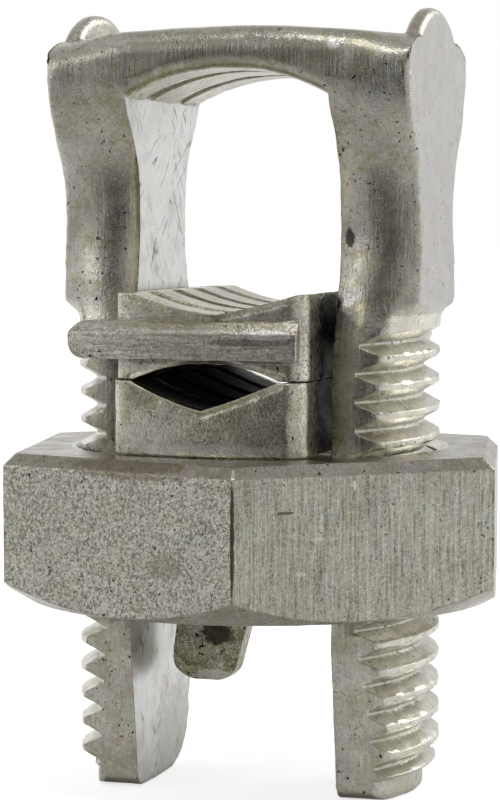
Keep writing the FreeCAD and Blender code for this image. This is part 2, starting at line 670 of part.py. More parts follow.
# Check and export
pieces = {"split_bolt": split_bolt, "hex_nut": hex_nut, "pressure_bar": pressure_bar, "spacer_bar": spacer_bar}
for label, piece in pieces.items():
    piece.Label = label
doc.recompute()
for item in doc.Objects:
    if "Invalid" in item.State or "Error" in item.State:
        raise RuntimeError("could not be built: " + item.Name)
for label, piece in pieces.items():
    if piece.Shape.isNull() or not piece.Shape.isValid() or len(piece.Shape.Solids) != 1:
        raise RuntimeError("not one sound solid: " + label)
    piece.Shape.exportStep("parts/%s.step" % label)
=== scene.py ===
"""Dresses the split bolt connector: studio, worked metal meshes and tin plated finishes."""

import logging
import math
from collections.abc import Callable
from dataclasses import dataclass
from enum import Enum

import bpy
import numpy as np
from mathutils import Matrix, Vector, kdtree, noise

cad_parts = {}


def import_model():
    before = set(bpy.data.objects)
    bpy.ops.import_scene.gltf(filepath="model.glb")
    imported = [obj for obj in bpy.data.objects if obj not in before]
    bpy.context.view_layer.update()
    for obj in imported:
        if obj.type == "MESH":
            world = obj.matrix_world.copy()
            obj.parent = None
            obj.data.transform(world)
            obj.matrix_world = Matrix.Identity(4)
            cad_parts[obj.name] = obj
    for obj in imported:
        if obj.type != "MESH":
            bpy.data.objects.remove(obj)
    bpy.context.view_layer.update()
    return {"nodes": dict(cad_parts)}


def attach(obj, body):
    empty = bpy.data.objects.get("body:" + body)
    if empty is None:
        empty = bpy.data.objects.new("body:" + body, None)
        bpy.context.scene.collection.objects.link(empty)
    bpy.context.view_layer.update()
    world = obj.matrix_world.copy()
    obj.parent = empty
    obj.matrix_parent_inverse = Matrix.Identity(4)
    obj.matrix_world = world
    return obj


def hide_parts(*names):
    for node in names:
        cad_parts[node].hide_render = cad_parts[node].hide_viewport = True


LOG = logging.getLogger("split_bolt_connector")
MM = 0.001
TINY = 1e-12

Triple = tuple[float, float, float]
Span = tuple[float, float]
Socket = bpy.types.NodeSocket
Zone = Callable[[np.ndarray], np.ndarray]
SlotChoice = Callable[[np.ndarray, np.ndarray], np.ndarray]


class Piece(str, Enum):
    """The four pieces of the connector, by the names of their solids."""

    BOLT = "split_bolt"
    NUT = "hex_nut"
    PRESSURE_BAR = "pressure_bar"
    SPACER_BAR = "spacer_bar"


class Surface(Enum):
    """Kinds of surface, by how each was made."""

    FORGED = "forged_tin"
    SAWN = "sawn_tin"
    EAR_FLAT = "ear_flat_tin"
    THREAD = "thread_tin"
    DRAWN = "drawn_tin"
    GRAINY = "grainy_tin"
    TURNED = "turned_tin"
    BAR = "bar_tin"
    # Painted shade: the inside of the hole between the bars.
    GROOVE = "groove_tin"
    LIP = "lip_tin"
    TANG = "tang_tin"


class Grain(Enum):
    """Direction in which drawing and sawing left their lines, as a scale of the place."""

    UPRIGHT = (1.0, 1.0, 0.05)
    LEVEL = (0.06, 0.06, 1.0)
    ALONG_BARS = (1.0, 0.06, 1.0)
    NONE = (1.0, 1.0, 1.0)


@dataclass(frozen=True)
class Finish:
    """Values of one tin plated surface, with widths in millimetres."""

    bright: Triple
    dull: Triple
    stain: Triple
    stain_amount: float
    roughness: float
    grain: Grain
    lines: float
    speckle: float
    pits: float
    # The edge values colour the edges: pale edge colours are painted highlights and brown ones painted dark outlines,
    # both over rubbed wear.
    edge: float
    edge_width: float = 0.14
    edge_colour: Triple = (0.88, 0.84, 0.66)
    # Painted shade: the next three values darken the colour where ambient occlusion finds crevices and gaps between
    # parts.
    crevice_shading: float = 0.85
    crevice_shading_colour: Triple = (0.075, 0.068, 0.040)
    crevice_shading_reach: float = 1.0
    grain_depth: float = 0.5
    scratches: float = 0.0
    scratch_colour: Triple = (0.22, 0.21, 0.17)
    metallic: float = 1.0


@dataclass(frozen=True)
class Mark:
    """A coloured patch at one place, in millimetres: a few are stains and wear, many are painted shade and painted
    highlights.
    """

    place: Triple
    reach: Triple
    colour: Triple
    strength: float


@dataclass(frozen=True)
class Dent:
    """A nick, pit or raised burr at one place, in millimetres. A negative depth stands proud."""

    place: Triple
    reach: float
    depth: float


@dataclass(frozen=True)
class Sag:
    """A flank that hangs in a shallow curve between two lines along Y, in millimetres."""

    start: float
    end: float
    depth: float
    low: float
    high: float


@dataclass(frozen=True)
class Relief:
    """How finely a piece is divided and how uneven its surface is, in millimetres."""

    fine: float
    coarse: float
    broad: float
    ripple: float
    bead: float
    wear: float
    dents: tuple[Dent, ...] = ()
    sags: tuple[Sag, ...] = ()
    rim_bead: float = 0.0
    bow: float = 0.0


# Brown of the painted dark outlines along edges.
BROWN = (0.13, 0.095, 0.05)

FINISHES: dict[Surface, Finish] = {
    Surface.FORGED: Finish(
        (0.66, 0.635, 0.55), (0.46, 0.44, 0.36), (0.42, 0.38, 0.17), 0.55, 0.22, Grain.UPRIGHT, 1.6, 3.4, 1.3, 0.45,
        edge_colour=BROWN, grain_depth=0.6),
    Surface.SAWN: Finish(
        (0.74, 0.745, 0.73), (0.69, 0.69, 0.67), (0.54, 0.53, 0.47), 0.2, 0.34, Grain.NONE, 0.0, 0.5, 0.4, 0.3,
        edge_colour=BROWN, crevice_shading=0.6, scratches=1.6),
    Surface.EAR_FLAT: Finish(
        (0.57, 0.565, 0.54), (0.50, 0.49, 0.455), (0.42, 0.40, 0.32), 0.25, 0.34, Grain.UPRIGHT, 0.5, 1.6, 0.9, 0.5,
        edge_colour=BROWN, scratches=0.25),
    Surface.THREAD: Finish(
        (0.78, 0.765, 0.68), (0.66, 0.64, 0.54), (0.44, 0.41, 0.22), 0.4, 0.22, Grain.LEVEL, 1.0, 2.8, 1.0, 0.4,
        crevice_shading=0.35),
    Surface.DRAWN: Finish(
        (0.61, 0.605, 0.505), (0.50, 0.495, 0.39), (0.38, 0.37, 0.21), 0.4, 0.26, Grain.UPRIGHT, 2.6, 3.6, 0.9, 0.95,
        edge_width=0.2, edge_colour=BROWN, grain_depth=1.0, scratches=0.4, scratch_colour=(0.78, 0.77, 0.68)),
    Surface.GRAINY: Finish(
        (0.66, 0.645, 0.55), (0.54, 0.525, 0.43), (0.42, 0.38, 0.26), 0.4, 0.26, Grain.UPRIGHT, 0.3, 7.0, 1.8, 0.95,
        edge_width=0.2, edge_colour=BROWN, grain_depth=1.25, scratches=0.2, scratch_colour=(0.85, 0.83, 0.76)),
    Surface.TURNED: Finish(
        (0.48, 0.455, 0.385), (0.36, 0.335, 0.26), (0.27, 0.24, 0.12), 0.5, 0.24, Grain.NONE, 0.3, 4.0, 1.4, 0.6,
        edge_colour=(0.90, 0.85, 0.60), grain_depth=0.6, scratches=0.3),
    Surface.BAR: Finish(
        (0.84, 0.81, 0.69), (0.56, 0.53, 0.40), (0.42, 0.38, 0.16), 0.5, 0.22, Grain.ALONG_BARS, 0.8, 5.5, 1.4, 0.75,
        edge_width=0.24, edge_colour=(0.92, 0.88, 0.68), crevice_shading=0.6, grain_depth=0.85),
    # Painted shade: dark colours, no metal sheen and a deep occlusion darkening stand in for the shade inside the
    # hole between the bars.
    Surface.GROOVE: Finish(
        (0.36, 0.34, 0.28), (0.22, 0.21, 0.16), (0.16, 0.14, 0.08), 0.5, 0.7, Grain.ALONG_BARS, 1.0, 3.0, 0.5, 0.3,
        edge_colour=(0.50, 0.47, 0.36), crevice_shading=0.97, crevice_shading_colour=(0.014, 0.012, 0.009), crevice_shading_reach=9.0,
        grain_depth=0.6, metallic=0.0),
    Surface.LIP: Finish(
        (0.72, 0.69, 0.62), (0.48, 0.455, 0.38), (0.38, 0.34, 0.21), 0.5, 0.20, Grain.LEVEL, 3.0, 5.0, 1.3, 0.3,
        edge_width=0.16, edge_colour=(0.90, 0.87, 0.72), crevice_shading=0.8, grain_depth=0.7),
    # Mostly painted shade: the tang sits in the nut's shadow, so its colours are much darker and more olive than the
    # bar's.
    Surface.TANG: Finish(
        (0.43, 0.41, 0.28), (0.29, 0.275, 0.155), (0.18, 0.165, 0.055), 0.7, 0.26, Grain.NONE, 0.4, 6.0, 1.8, 0.35,
        edge_colour=(0.70, 0.66, 0.48), crevice_shading=0.8, grain_depth=0.7),
}

DARK = (0.035, 0.033, 0.026)
OLIVE = (0.20, 0.18, 0.08)
YELLOW = (0.85, 0.78, 0.52)
PALE = (0.88, 0.87, 0.83)

# Painted shade: a thin dark line down the front corner of the nut, where the dark room reflects.
NUT_CORNER_SHADE_LINE = Mark((4.36, -21.0, 21.4), (0.17, 0.6, 4.4), (0.11, 0.085, 0.045), 0.95)
# Marks of each finish; many are painted shade and painted highlights, as noted at each.
MARKS: dict[Surface, tuple[Mark, ...]] = {
    Surface.FORGED: (
        # Painted shade and painted highlights on the legs and bridge: a dark olive line and yellow highlights along
        # the inner fronts of the legs, and a darker band along the lower front of the bridge. Two more are a dark and
        # a pale spot at nicks.
        Mark((-8.1, -5.6, 43.0), (0.35, 1.0, 14.0), OLIVE, 0.8),
        Mark((-8.6, -5.8, 41.0), (0.5, 1.0, 6.0), YELLOW, 0.4),
        Mark((8.9, -6.0, 43.1), (0.45, 1.0, 0.75), DARK, 0.9),
        Mark((8.6, -5.9, 47.0), (0.5, 1.0, 1.4), YELLOW, 0.45),
        Mark((10.1, -6.6, 36.4), (0.45, 1.2, 2.2), YELLOW, 0.75),
        Mark((8.5, -8.9, 57.4), (0.55, 1.0, 0.5), PALE, 0.9),
        Mark((-0.5, -9.6, 57.3), (8.5, 3.2, 1.5), (0.30, 0.285, 0.23), 0.5),
    ),
    Surface.BAR: (
        # Painted shadow: the near-black side of the bars in the gap beside the right leg.
        Mark((7.3, 0.0, 32.5), (0.7, 10.6, 22.0), DARK, 0.95),
        Mark((0.0, 0.0, 38.4), (8.0, 14.0, 1.7), (0.45, 0.43, 0.32), 0.45),
        # Painted highlights along the lower front of the pressure bar.
        Mark((-4.6, -13.3, 28.4), (2.6, 0.8, 1.1), PALE, 0.35),
        Mark((-0.3, -13.4, 27.2), (7.8, 0.9, 0.5), PALE, 0.6),
        Mark((-5.4, -13.3, 31.4), (1.6, 0.8, 1.0), OLIVE, 0.45),
    ),
    Surface.LIP: (
        # Painted shade along the sloped top of the lip and a painted highlight at its right end; the third mark is a
        # dark streak.
        Mark((-1.0, -12.9, 36.7), (9.5, 0.9, 0.55), (0.36, 0.34, 0.22), 0.6),
        Mark((4.9, -13.3, 35.9), (1.9, 0.8, 0.5), PALE, 0.6),
        Mark((3.0, -13.4, 35.3), (3.4, 0.8, 0.28), (0.22, 0.20, 0.17), 0.7),
    ),
    Surface.SAWN: (
        # Painted shade low and towards the back on the inner face of the left leg.
        Mark((-8.05, 3.5, 1.6), (1.0, 7.0, 5.6), (0.42, 0.42, 0.37), 0.55),
    ),
    Surface.TANG: (
        # Painted shadow of the nut on the top of the tang, and painted light along its bottom.
        Mark((-3.4, -1.0, 11.6), (1.5, 7.0, 1.0), DARK, 0.9),
        Mark((-3.4, -1.0, 8.2), (2.2, 7.0, 0.5), PALE, 0.5),
    ),
    Surface.GRAINY: (
        Mark((-1.3, -19.1, 19.2), (1.6, 1.2, 1.1), (0.20, 0.17, 0.11), 0.35),
        Mark((-4.0, -18.3, 25.9), (7.5, 3.0, 0.55), (0.20, 0.15, 0.09), 0.6),
        NUT_CORNER_SHADE_LINE,
    ),
    Surface.DRAWN: (
        NUT_CORNER_SHADE_LINE,
        # Painted glints and a painted bluish reflection on the nut's front right face, besides a thin dark line.
        Mark((11.7, -14.5, 25.1), (0.2, 0.2, 0.42), (0.90, 0.90, 0.86), 0.75),
        Mark((7.6, -18.2, 23.3), (0.75, 0.75, 0.13), (0.13, 0.11, 0.09), 0.8),
        Mark((5.0, -20.4, 26.2), (0.7, 0.8, 0.45), (0.72, 0.74, 0.86), 0.7),
        Mark((8.4, -17.4, 18.8), (0.55, 0.55, 0.16), (0.88, 0.87, 0.80), 0.6),
        Mark((9.5, -16.5, 21.3), (0.6, 0.6, 0.13), (0.84, 0.84, 0.76), 0.55),
    ),
    Surface.TURNED: (
        Mark((-5.5, -17.8, 26.4), (7.0, 3.0, 0.6), (0.17, 0.13, 0.07), 0.6),
    ),
}

RELIEFS: dict[Piece, Relief] = {
    Piece.BOLT: Relief(0.52, 0.95, 0.055, 0.022, 0.075, 0.45, (
        Dent((8.5, -9.2, 57.5), 0.55, 0.16), Dent((8.9, -5.9, 43.1), 0.6, 0.14),
        Dent((-11.9, -8.2, 50.6), 0.5, 0.10), Dent((-12.4, -9.0, 54.0), 0.35, 0.08),
        Dent((12.3, -7.7, 50.0), 0.5, 0.09), Dent((2.0, -9.4, 57.9), 0.5, 0.09))),
    Piece.NUT: Relief(0.38, 0.9, 0.03, 0.012, 0.05, 0.35, (
        Dent((-9.8, -17.2, 18.0), 0.5, 0.09), Dent((-4.0, -19.5, 23.6), 0.4, 0.07),
        Dent((3.0, -20.4, 26.5), 0.6, 0.12), Dent((14.2, -14.0, 26.4), 0.5, 0.08))),
    Piece.PRESSURE_BAR: Relief(0.30, 0.55, 0.04, 0.03, 0.0, 0.5, (
        Dent((-4.6, -1.2, 9.4), 0.9, 0.08), Dent((-3.0, -1.0, 12.6), 0.8, 0.10)), (
        Sag(-6.25, -0.49, 0.22, 29.2, 30.6), Sag(-0.49, 5.3, 0.10, 29.2, 30.6)), 0.22, 0.5),
    Piece.SPACER_BAR: Relief(0.34, 0.62, 0.035, 0.028, 0.0, 0.5, (
        Dent((-9.4, -13.2, 35.6), 0.6, 0.08), Dent((4.0, -13.4, 35.0), 0.7, 0.10)), (
        Sag(-6.1, 0.5, 0.30, 36.6, 37.4), Sag(0.5, 6.8, 0.10, 36.6, 37.4),
        Sag(-6.25, -0.3, -0.32, 34.0, 33.4), Sag(-0.3, 5.3, -0.32, 34.0, 33.4)), 0.22, 0.35),
}


def unit(vectors: np.ndarray) -> np.ndarray:
    """The same directions at length one."""
    return vectors / np.maximum(np.linalg.norm(vectors, axis=1, keepdims=True), TINY)


def link(name: str, data: bpy.types.ID) -> bpy.types.Object:
    """New object in the scene."""
    made = bpy.data.objects.new(name, data)
    bpy.context.scene.collection.objects.link(made)
    return made


class WorkedMesh:
    """Finely divided copy of a CAD solid, with worn edges and the uneven surface of the real metal."""

    weld = 1e-6
    sharp_angle = math.radians(28)
    rounds_of_division = 9
    smoothing_rounds = 8
    shade_angle = math.radians(42)
    quick_factor = 2.0
    rim_depth = 11.0
    rim_band = 0.75
    rim_factor = 0.45
    rim_spacing = 0.06
    rim_far = 9.0
    end_facing = 0.8
    flank_facing = (0.12, 0.35, 0.6)
    bow_start, bow_width = 9.0, 2.0
    bead_width, ditch_depth, ditch_place, ditch_width = 0.2, 0.35, 0.46, 0.13
    wear_noise = (1.1, 3, 5.0)
    broad_noise = (5.0, 2, 11.0)
    ripple_noise = (1.5, 3, 3.0)
    crest_noise = (1.0, 3, 7.0)
    inward, crest_inward = 0.25, 0.2

    def __init__(self, node: bpy.types.Object, relief: Relief, fine_zone: Zone) -> None:
        """Reads the CAD mesh and welds its corners.

        Args:
            node: The CAD node.
            relief: How finely it is divided and how uneven it gets.
            fine_zone: Tells for places in millimetres which of them need the finer division.
        """
        self.relief = relief
        self.fine_zone = fine_zone
        mesh = node.data
        mesh.calc_loop_triangles()
        points = np.empty(len(mesh.vertices) * 3)
        mesh.vertices.foreach_get("co", points)
        corners_of = np.empty(len(mesh.loop_triangles) * 3, dtype=np.int64)
        mesh.loop_triangles.foreach_get("vertices", corners_of)
        keys = np.round(points.reshape(-1, 3) / self.weld).astype(np.int64)
        kept, first, merged = np.unique(keys, axis=0, return_index=True, return_inverse=True)
        self.points = points.reshape(-1, 3)[first] / MM
        triangles = merged.reshape(-1)[corners_of].reshape(-1, 3)
        whole = (triangles != np.roll(triangles, 1, axis=1)).all(axis=1)
        self.triangles = triangles[whole]
        self.sharp_keys = self._find_sharp()
        self.rims = self._rim_tree() if relief.rim_bead > 0.0 else None

    def _pairs(self) -> np.ndarray:
        """Edges of every triangle as sorted pairs of points, three to a triangle."""
        return np.sort(np.stack([self.triangles, np.roll(self.triangles, -1, axis=1)], axis=2), axis=2)

    @staticmethod
    def _key(pairs: np.ndarray) -> np.ndarray:
        """One whole number for each pair of points."""
        return pairs[..., 0] * (1 << 32) + pairs[..., 1]

    def _facings(self) -> np.ndarray:
        """Normals of the triangles, as long as twice their areas."""
        a, b, c = (self.points[self.triangles[:, k]] for k in range(3))
        return np.cross(b - a, c - a)

    def _find_sharp(self) -> np.ndarray:
        """Keys of the edges where two surfaces meet at an angle."""
        keys = self._key(self._pairs()).reshape(-1)
        owner = np.repeat(np.arange(len(self.triangles)), 3)
        order = np.argsort(keys, kind="stable")
        keys, owner = keys[order], owner[order]
        twin = keys[1:] == keys[:-1]
        facing = unit(self._facings())
        turn = np.einsum("ij,ij->i", facing[owner[1:]], facing[owner[:-1]])
        return np.unique(keys[1:][twin & (turn < math.cos(self.sharp_angle))])

    def _rim_tree(self) -> kdtree.KDTree:
        """Search tree of places along the rims of the V grooves in the front and back faces."""
        pairs = self._pairs().reshape(-1, 2)
        facing = np.abs(unit(self._facings()))
        owner = np.repeat(np.arange(len(self.triangles)), 3)
        keys = self._key(pairs)
        sharp = np.isin(keys, self.sharp_keys)
        ends = set(keys[sharp & (facing[owner, 1] > self.end_facing)].tolist())
        across, along, up = self.flank_facing
        flanks = sharp & (facing[owner, 1] < along) & (facing[owner, 2] > up) & (facing[owner, 0] > across)
        places = []
        for key, (first, second) in zip(keys[flanks].tolist(), pairs[flanks]):
            if key in ends:
                start, end = self.points[first], self.points[second]
                steps = max(2, int(np.linalg.norm(end - start) / self.rim_spacing))
                places += [start + (end - start) * k / steps for k in range(steps + 1)]
        tree = kdtree.KDTree(len(places))
        for index, place in enumerate(places):
            tree.insert(place, index)
        tree.balance()
        return tree

    def _from_rims(self, places: np.ndarray) -> np.ndarray:
        """Distance of each place from the rims of the V grooves, or a large number far from them."""
        apart = np.full(len(places), self.rim_far)
        if self.rims is not None:
            for index in np.flatnonzero(np.abs(places[:, 1]) > self.rim_depth):
                apart[index] = self.rims.find(places[index])[2]
        return apart

    def divide(self) -> "WorkedMesh":
        """Halves the edges that are too long until none is, finer at sharp edges and in the fine zone."""
        for _ in range(self.rounds_of_division):
            pairs = self._pairs()
            keys = self._key(pairs)
            edge_keys, place = np.unique(keys.reshape(-1), return_index=True)
            edges = pairs.reshape(-1, 2)[place]
            start, end = self.points[edges[:, 0]], self.points[edges[:, 1]]
            middle = (start + end) / 2
            sharp = np.isin(edge_keys, self.sharp_keys)
            rim = np.zeros(len(self.points), dtype=bool)
            rim[edges[sharp].reshape(-1)] = True
            fine = rim[edges].any(axis=1) | self.fine_zone(middle)
            goal = np.where(fine, self.relief.fine, self.relief.coarse) * 1.0
            goal = np.where(self._from_rims(middle) < self.rim_band, self.rim_factor * self.relief.fine, goal)
            long = np.linalg.norm(end - start, axis=1) > goal
            if not long.any():
                break
            fresh = np.full(len(edge_keys), -1, dtype=np.int64)
            fresh[long] = len(self.points) + np.arange(int(long.sum()))
            self.points = np.vstack([self.points, middle[long]])
            cut_sharp = long & sharp
            halves = np.concatenate([np.stack([edges[cut_sharp, k], fresh[cut_sharp]], axis=1) for k in range(2)])
            uncut = edge_keys[sharp & ~long]
            self.sharp_keys = np.unique(np.concatenate([uncut, self._key(np.sort(halves, axis=1))]))
            self._split(fresh[np.searchsorted(edge_keys, keys)])
        return self

    def _split(self, middles: np.ndarray) -> None:
        """Splits each triangle at the new middles of its edges.

        Args:
            middles: For each triangle its three new points, or a negative number where an edge stays whole.
        """
        triangles, count = self.triangles, (middles >= 0).sum(axis=1)
        made = [triangles[count == 0]]
        for turn in range(3):
            corner = np.roll(triangles, -turn, axis=1)
            middle = np.roll(middles, -turn, axis=1)
            a, b, c = corner.T
            ab, bc, ca = middle.T
            one = (count == 1) & (ab >= 0)
            made += [np.stack(t, axis=1)[one] for t in ((a, ab, c), (ab, b, c))]
            two = (count == 2) & (ca < 0)
            made += [np.stack(t, axis=1)[two] for t in ((a, ab, c), (ab, bc, c), (ab, b, bc))]
            if turn == 0:
                three = count == 3
                made += [np.stack(t, axis=1)[three] for t in ((a, ab, ca), (ab, b, bc), (ca, bc, c), (ab, bc, ca))]
        self.triangles = np.concatenate(made)

    def _edges(self) -> tuple[np.ndarray, np.ndarray]:
        """Every edge once, and the points that lie on a sharp edge."""
        pairs = self._pairs()
        keys, place = np.unique(self._key(pairs).reshape(-1), return_index=True)
        edges = pairs.reshape(-1, 2)[place]
        rim = np.zeros(len(self.points), dtype=bool)
        rim[edges[np.isin(keys, self.sharp_keys)].reshape(-1)] = True
        return edges, rim

    def _point_normals(self) -> np.ndarray:
        """Unit normals of the points."""
        facing = self._facings()
        total = np.zeros_like(self.points)
        for k in range(3):
            for axis in range(3):
                total[:, axis] += np.bincount(self.triangles[:, k], facing[:, axis], len(self.points))
        return unit(total)

    def _pull(self, edges: np.ndarray) -> np.ndarray:
        """Way from each point to the middle of its neighbours."""
        count = np.bincount(edges.reshape(-1), minlength=len(self.points))
        total = np.zeros_like(self.points)
        for near, far in ((0, 1), (1, 0)):
            for axis in range(3):
                total[:, axis] += np.bincount(edges[:, near], self.points[edges[:, far], axis], len(self.points))
        return total / np.maximum(count, 1)[:, None] - self.points

    def reshape(self, form: Zone) -> "WorkedMesh":
        """Moves the points to where the forging has them.

        Args:
            form: Gives the new place of each point in millimetres.

        Returns:
            The same mesh.
        """
        self.points = form(self.points)
        return self

    def smooth(self) -> "WorkedMesh":
        """Rounds the facets of the curved surfaces, then wears the sharp edges."""
        edges, rim = self._edges()
        for _ in range(self.smoothing_rounds):
            normals = self._point_normals()
            rise = np.einsum("ij,ij->i", self._pull(edges), normals)
            rise[rim] = 0.0
            self.points += 0.5 * rise[:, None] * normals
        share = self.relief.wear * (0.6 + 0.8 * self._noise(*self.wear_noise))
        self.points += np.clip(share, 0.0, 0.9)[:, None] * self._pull(edges) * rim[:, None]
        return self

    def _noise(self, wavelength: float, octaves: int, seed: float) -> np.ndarray:
        """Noise between about minus one and one at every point.

        Args:
            wavelength: Size of the largest bumps in millimetres.
            octaves: How many finer layers are added.
            seed: Offset that makes one noise differ from another.

        Returns:
            One value for each point.
        """
        shift = Vector((seed, -seed, 2 * seed))
        return np.array([noise.fractal(Vector(p) / wavelength + shift, 1.0, 2.0, octaves) for p in self.points])

    def roughen(self, thread_share: Zone) -> "WorkedMesh":
        """Moves the points along their normals, mostly inward, as forging and wear left them.

        Args:
            thread_share: Tells for places in millimetres how far they belong to the crests of a thread.

        Returns:
            The same mesh.
        """
        relief, normals = self.relief, self._point_normals()
        for sag in relief.sags:
            across = (self.points[:, 0] - sag.start) / (sag.end - sag.start)
            hang = np.clip(4.0 * across * (1.0 - across), 0.0, 1.0)
            share = np.clip((self.points[:, 2] - sag.low) / (sag.high - sag.low), 0.0, 1.0)
            self.points[:, 2] -= sag.depth * hang * share
        ends = np.clip((np.abs(self.points[:, 1]) - self.bow_start) / self.bow_width, 0.0, 1.0)
        self.points[:, 1] -= relief.bow * ends * (self.points[:, 0] / HALF_SLOT) ** 2 * np.sign(self.points[:, 1])
        depth = relief.broad * (self._noise(*self.broad_noise) - self.inward)
        depth = np.minimum(depth + relief.ripple * (self._noise(*self.ripple_noise) - self.inward), relief.ripple)
        crest = np.minimum(self._noise(*self.crest_noise) - self.crest_inward, self.crest_inward)
        depth += relief.bead * thread_share(self.points) * crest
        if relief.rim_bead > 0.0:
            apart = self._from_rims(self.points)
            ditch = self.ditch_depth * np.exp(-((apart - self.ditch_place) / self.ditch_width) ** 2)
            bead = np.exp(-(apart / self.bead_width) ** 2) - ditch
            self.points[:, 1] += relief.rim_bead * bead * np.sign(self.points[:, 1])
        for dent in relief.dents:
            apart = np.linalg.norm(self.points - np.array(dent.place), axis=1) / dent.reach
            depth -= dent.depth * np.clip(1.0 - apart ** 2, 0.0, 1.0) ** 2
        self.points += depth[:, None] * normals
        return self

    def build(self, name: str, surfaces: list[Surface], choose: SlotChoice) -> bpy.types.Object:
        """Makes the Blender object.

        Args:
            name: Name of the new piece.
            surfaces: The kinds of surface on it, in the order of its material slots.
            choose: Gives the slot of each triangle from its middle in millimetres and its normal.

        Returns:
            The new object, without its materials.
        """
        mesh = bpy.data.meshes.new(name)
        mesh.from_pydata((self.points * MM).tolist(), [], self.triangles.tolist())
        facing = unit(self._facings())
        middle = self.points[self.triangles].mean(axis=1)
        slots = choose(middle, facing).astype(np.int32)
        mesh.polygons.foreach_set("material_index", np.clip(slots, 0, len(surfaces) - 1))
        mesh.polygons.foreach_set("use_smooth", np.ones(len(mesh.polygons), dtype=bool))
        mesh.set_sharp_from_angle(angle=self.shade_angle)
        mesh.update()
        LOG.info("%s has %d triangles", name, len(self.triangles))
        return link(name, mesh)


@dataclass(frozen=True)
class Pattern:
    """A noise and the part of its range that makes a patch."""

    scale: float
    detail: float = 3.0
    rough: float = 0.55
    distort: float = 0.0
    low: float = 0.0
    high: float = 1.0


WIDE_TONE = Pattern(300.0, 6.0, 0.7, 0.4, 0.34, 0.66)
PINK_TONE = Pattern(430.0, 4.0, low=0.52, high=0.66)
COOL_TONE = Pattern(370.0, 4.0, low=0.44, high=0.32)
STAIN_PATCH = Pattern(700.0, 6.0, 0.75, 0.5, 0.50, 0.66)
FINE_SPECKLE = Pattern(8200.0, 2.0, 0.7)
COARSE_SPECKLE = Pattern(3600.0, rough=0.7)
DRAWN_LINES = Pattern(4600.0, 4.0, 0.7)
PITS = Pattern(2600.0, distort=0.3, low=0.64, high=0.69)
PIT_ZONES = Pattern(300.0, rough=0.6, low=0.42, high=0.54)
SHEEN = Pattern(380.0, 4.0, 0.6, 0.5, 0.35, 0.65)
RAGGED_RIM = Pattern(1900.0)


class NodeSheet:
    """Short hand for adding and joining shader nodes in one tree."""

    def __init__(self, tree: bpy.types.NodeTree) -> None:
        """Keeps the tree that the nodes go into."""
        self.tree = tree

    def add(self, kind: str, **values: object) -> bpy.types.Node:
        """Adds a node.

        Args:
            kind: Blender's type name of the node.
            **values: Plain properties of the node.

        Returns:
            The new node.
        """
        node = self.tree.nodes.new(kind)
        for key, value in values.items():
            setattr(node, key, value)
        return node

    def join(self, start: Socket, end: Socket) -> None:
        """Joins an output to an input."""
        self.tree.links.new(start, end)

    def feed(self, node: bpy.types.Node, **inputs: object) -> bpy.types.Node:
        """Sets or joins inputs of a node by name, with underscores for blanks.

        Args:
            node: The node whose inputs are fed.
            **inputs: A value or an output socket for each input.

        Returns:
            The same node.
        """
        for key, value in inputs.items():
            socket = node.inputs[key.replace("_", " ")]
            if isinstance(value, Socket):
                self.join(value, socket)
            else:
                socket.default_value = value
        return node

    def use(self, tree: bpy.types.NodeTree, **inputs: object) -> bpy.types.Node:
        """Adds a node group and feeds its inputs."""
        return self.feed(self.add("ShaderNodeGroup", node_tree=tree), **inputs)

    def vector(self, operation: str, first: Socket, second: Socket | None = None) -> bpy.types.Node:
        """Adds a vector sum of one or two vectors."""
        node = self.add("ShaderNodeVectorMath", operation=operation)
        for value, socket in zip((first, second), node.inputs):
            if value is not None:
                self.join(value, socket)
        return node

    def noise(self, place: Socket, pattern: Pattern) -> Socket:
        """Noise value at a place, centred near one half."""
        node = self.add("ShaderNodeTexNoise")
        self.feed(node, Vector=place, Scale=pattern.scale, Detail=pattern.detail, Roughness=pattern.rough,
                  Distortion=pattern.distort)
        return node.outputs["Fac"]

    def patches(self, place: Socket, pattern: Pattern) -> Socket:
        """Patches where the noise lies between the limits of the pattern."""
        return self.spread(self.noise(place, pattern), pattern.low, pattern.high)

    def math(self, operation: str, first: object, second: object = 0.0) -> Socket:
        """Result of a sum on one or two values."""
        node = self.add("ShaderNodeMath", operation=operation)
        for socket, value in zip(node.inputs, (first, second)):
            if isinstance(value, Socket):
                self.join(value, socket)
            else:
                socket.default_value = value
        return node.outputs[0]

    def times(self, first: object, second: object) -> Socket:
        """Product of two values."""
        return self.math("MULTIPLY", first, second)

    def plus(self, first: object, second: object) -> Socket:
        """Sum of two values."""
        return self.math("ADD", first, second)

    def minus(self, first: object, second: object) -> Socket:
        """Difference of two values."""
        return self.math("SUBTRACT", first, second)

    def spread(self, value: Socket, low: float, high: float,
               to_low: float = 0.0, to_high: float = 1.0) -> Socket:
        """Maps a value from one range to another with soft ends."""
        node = self.add("ShaderNodeMapRange", interpolation_type="SMOOTHSTEP")
        self.feed(node, Value=value, From_Min=low, From_Max=high, To_Min=to_low, To_Max=to_high)
        return node.outputs["Result"]

    def blend(self, share: object, first: object, second: object) -> Socket:
        """Mixes two colours by a share."""
        node = self.add("ShaderNodeMix", data_type="RGBA")
        for index, value in ((0, share), (6, first), (7, second)):
            if isinstance(value, Socket):
                self.join(value, node.inputs[index])
            else:
                node.inputs[index].default_value = value if index == 0 else (*value[:3], 1.0)
        return node.outputs[2]


def fresh_sheet(owner: bpy.types.Material | bpy.types.World) -> NodeSheet:
    """Empty node sheet of a material or world."""
    owner.use_nodes = True
    owner.node_tree.nodes.clear()
    return NodeSheet(owner.node_tree)


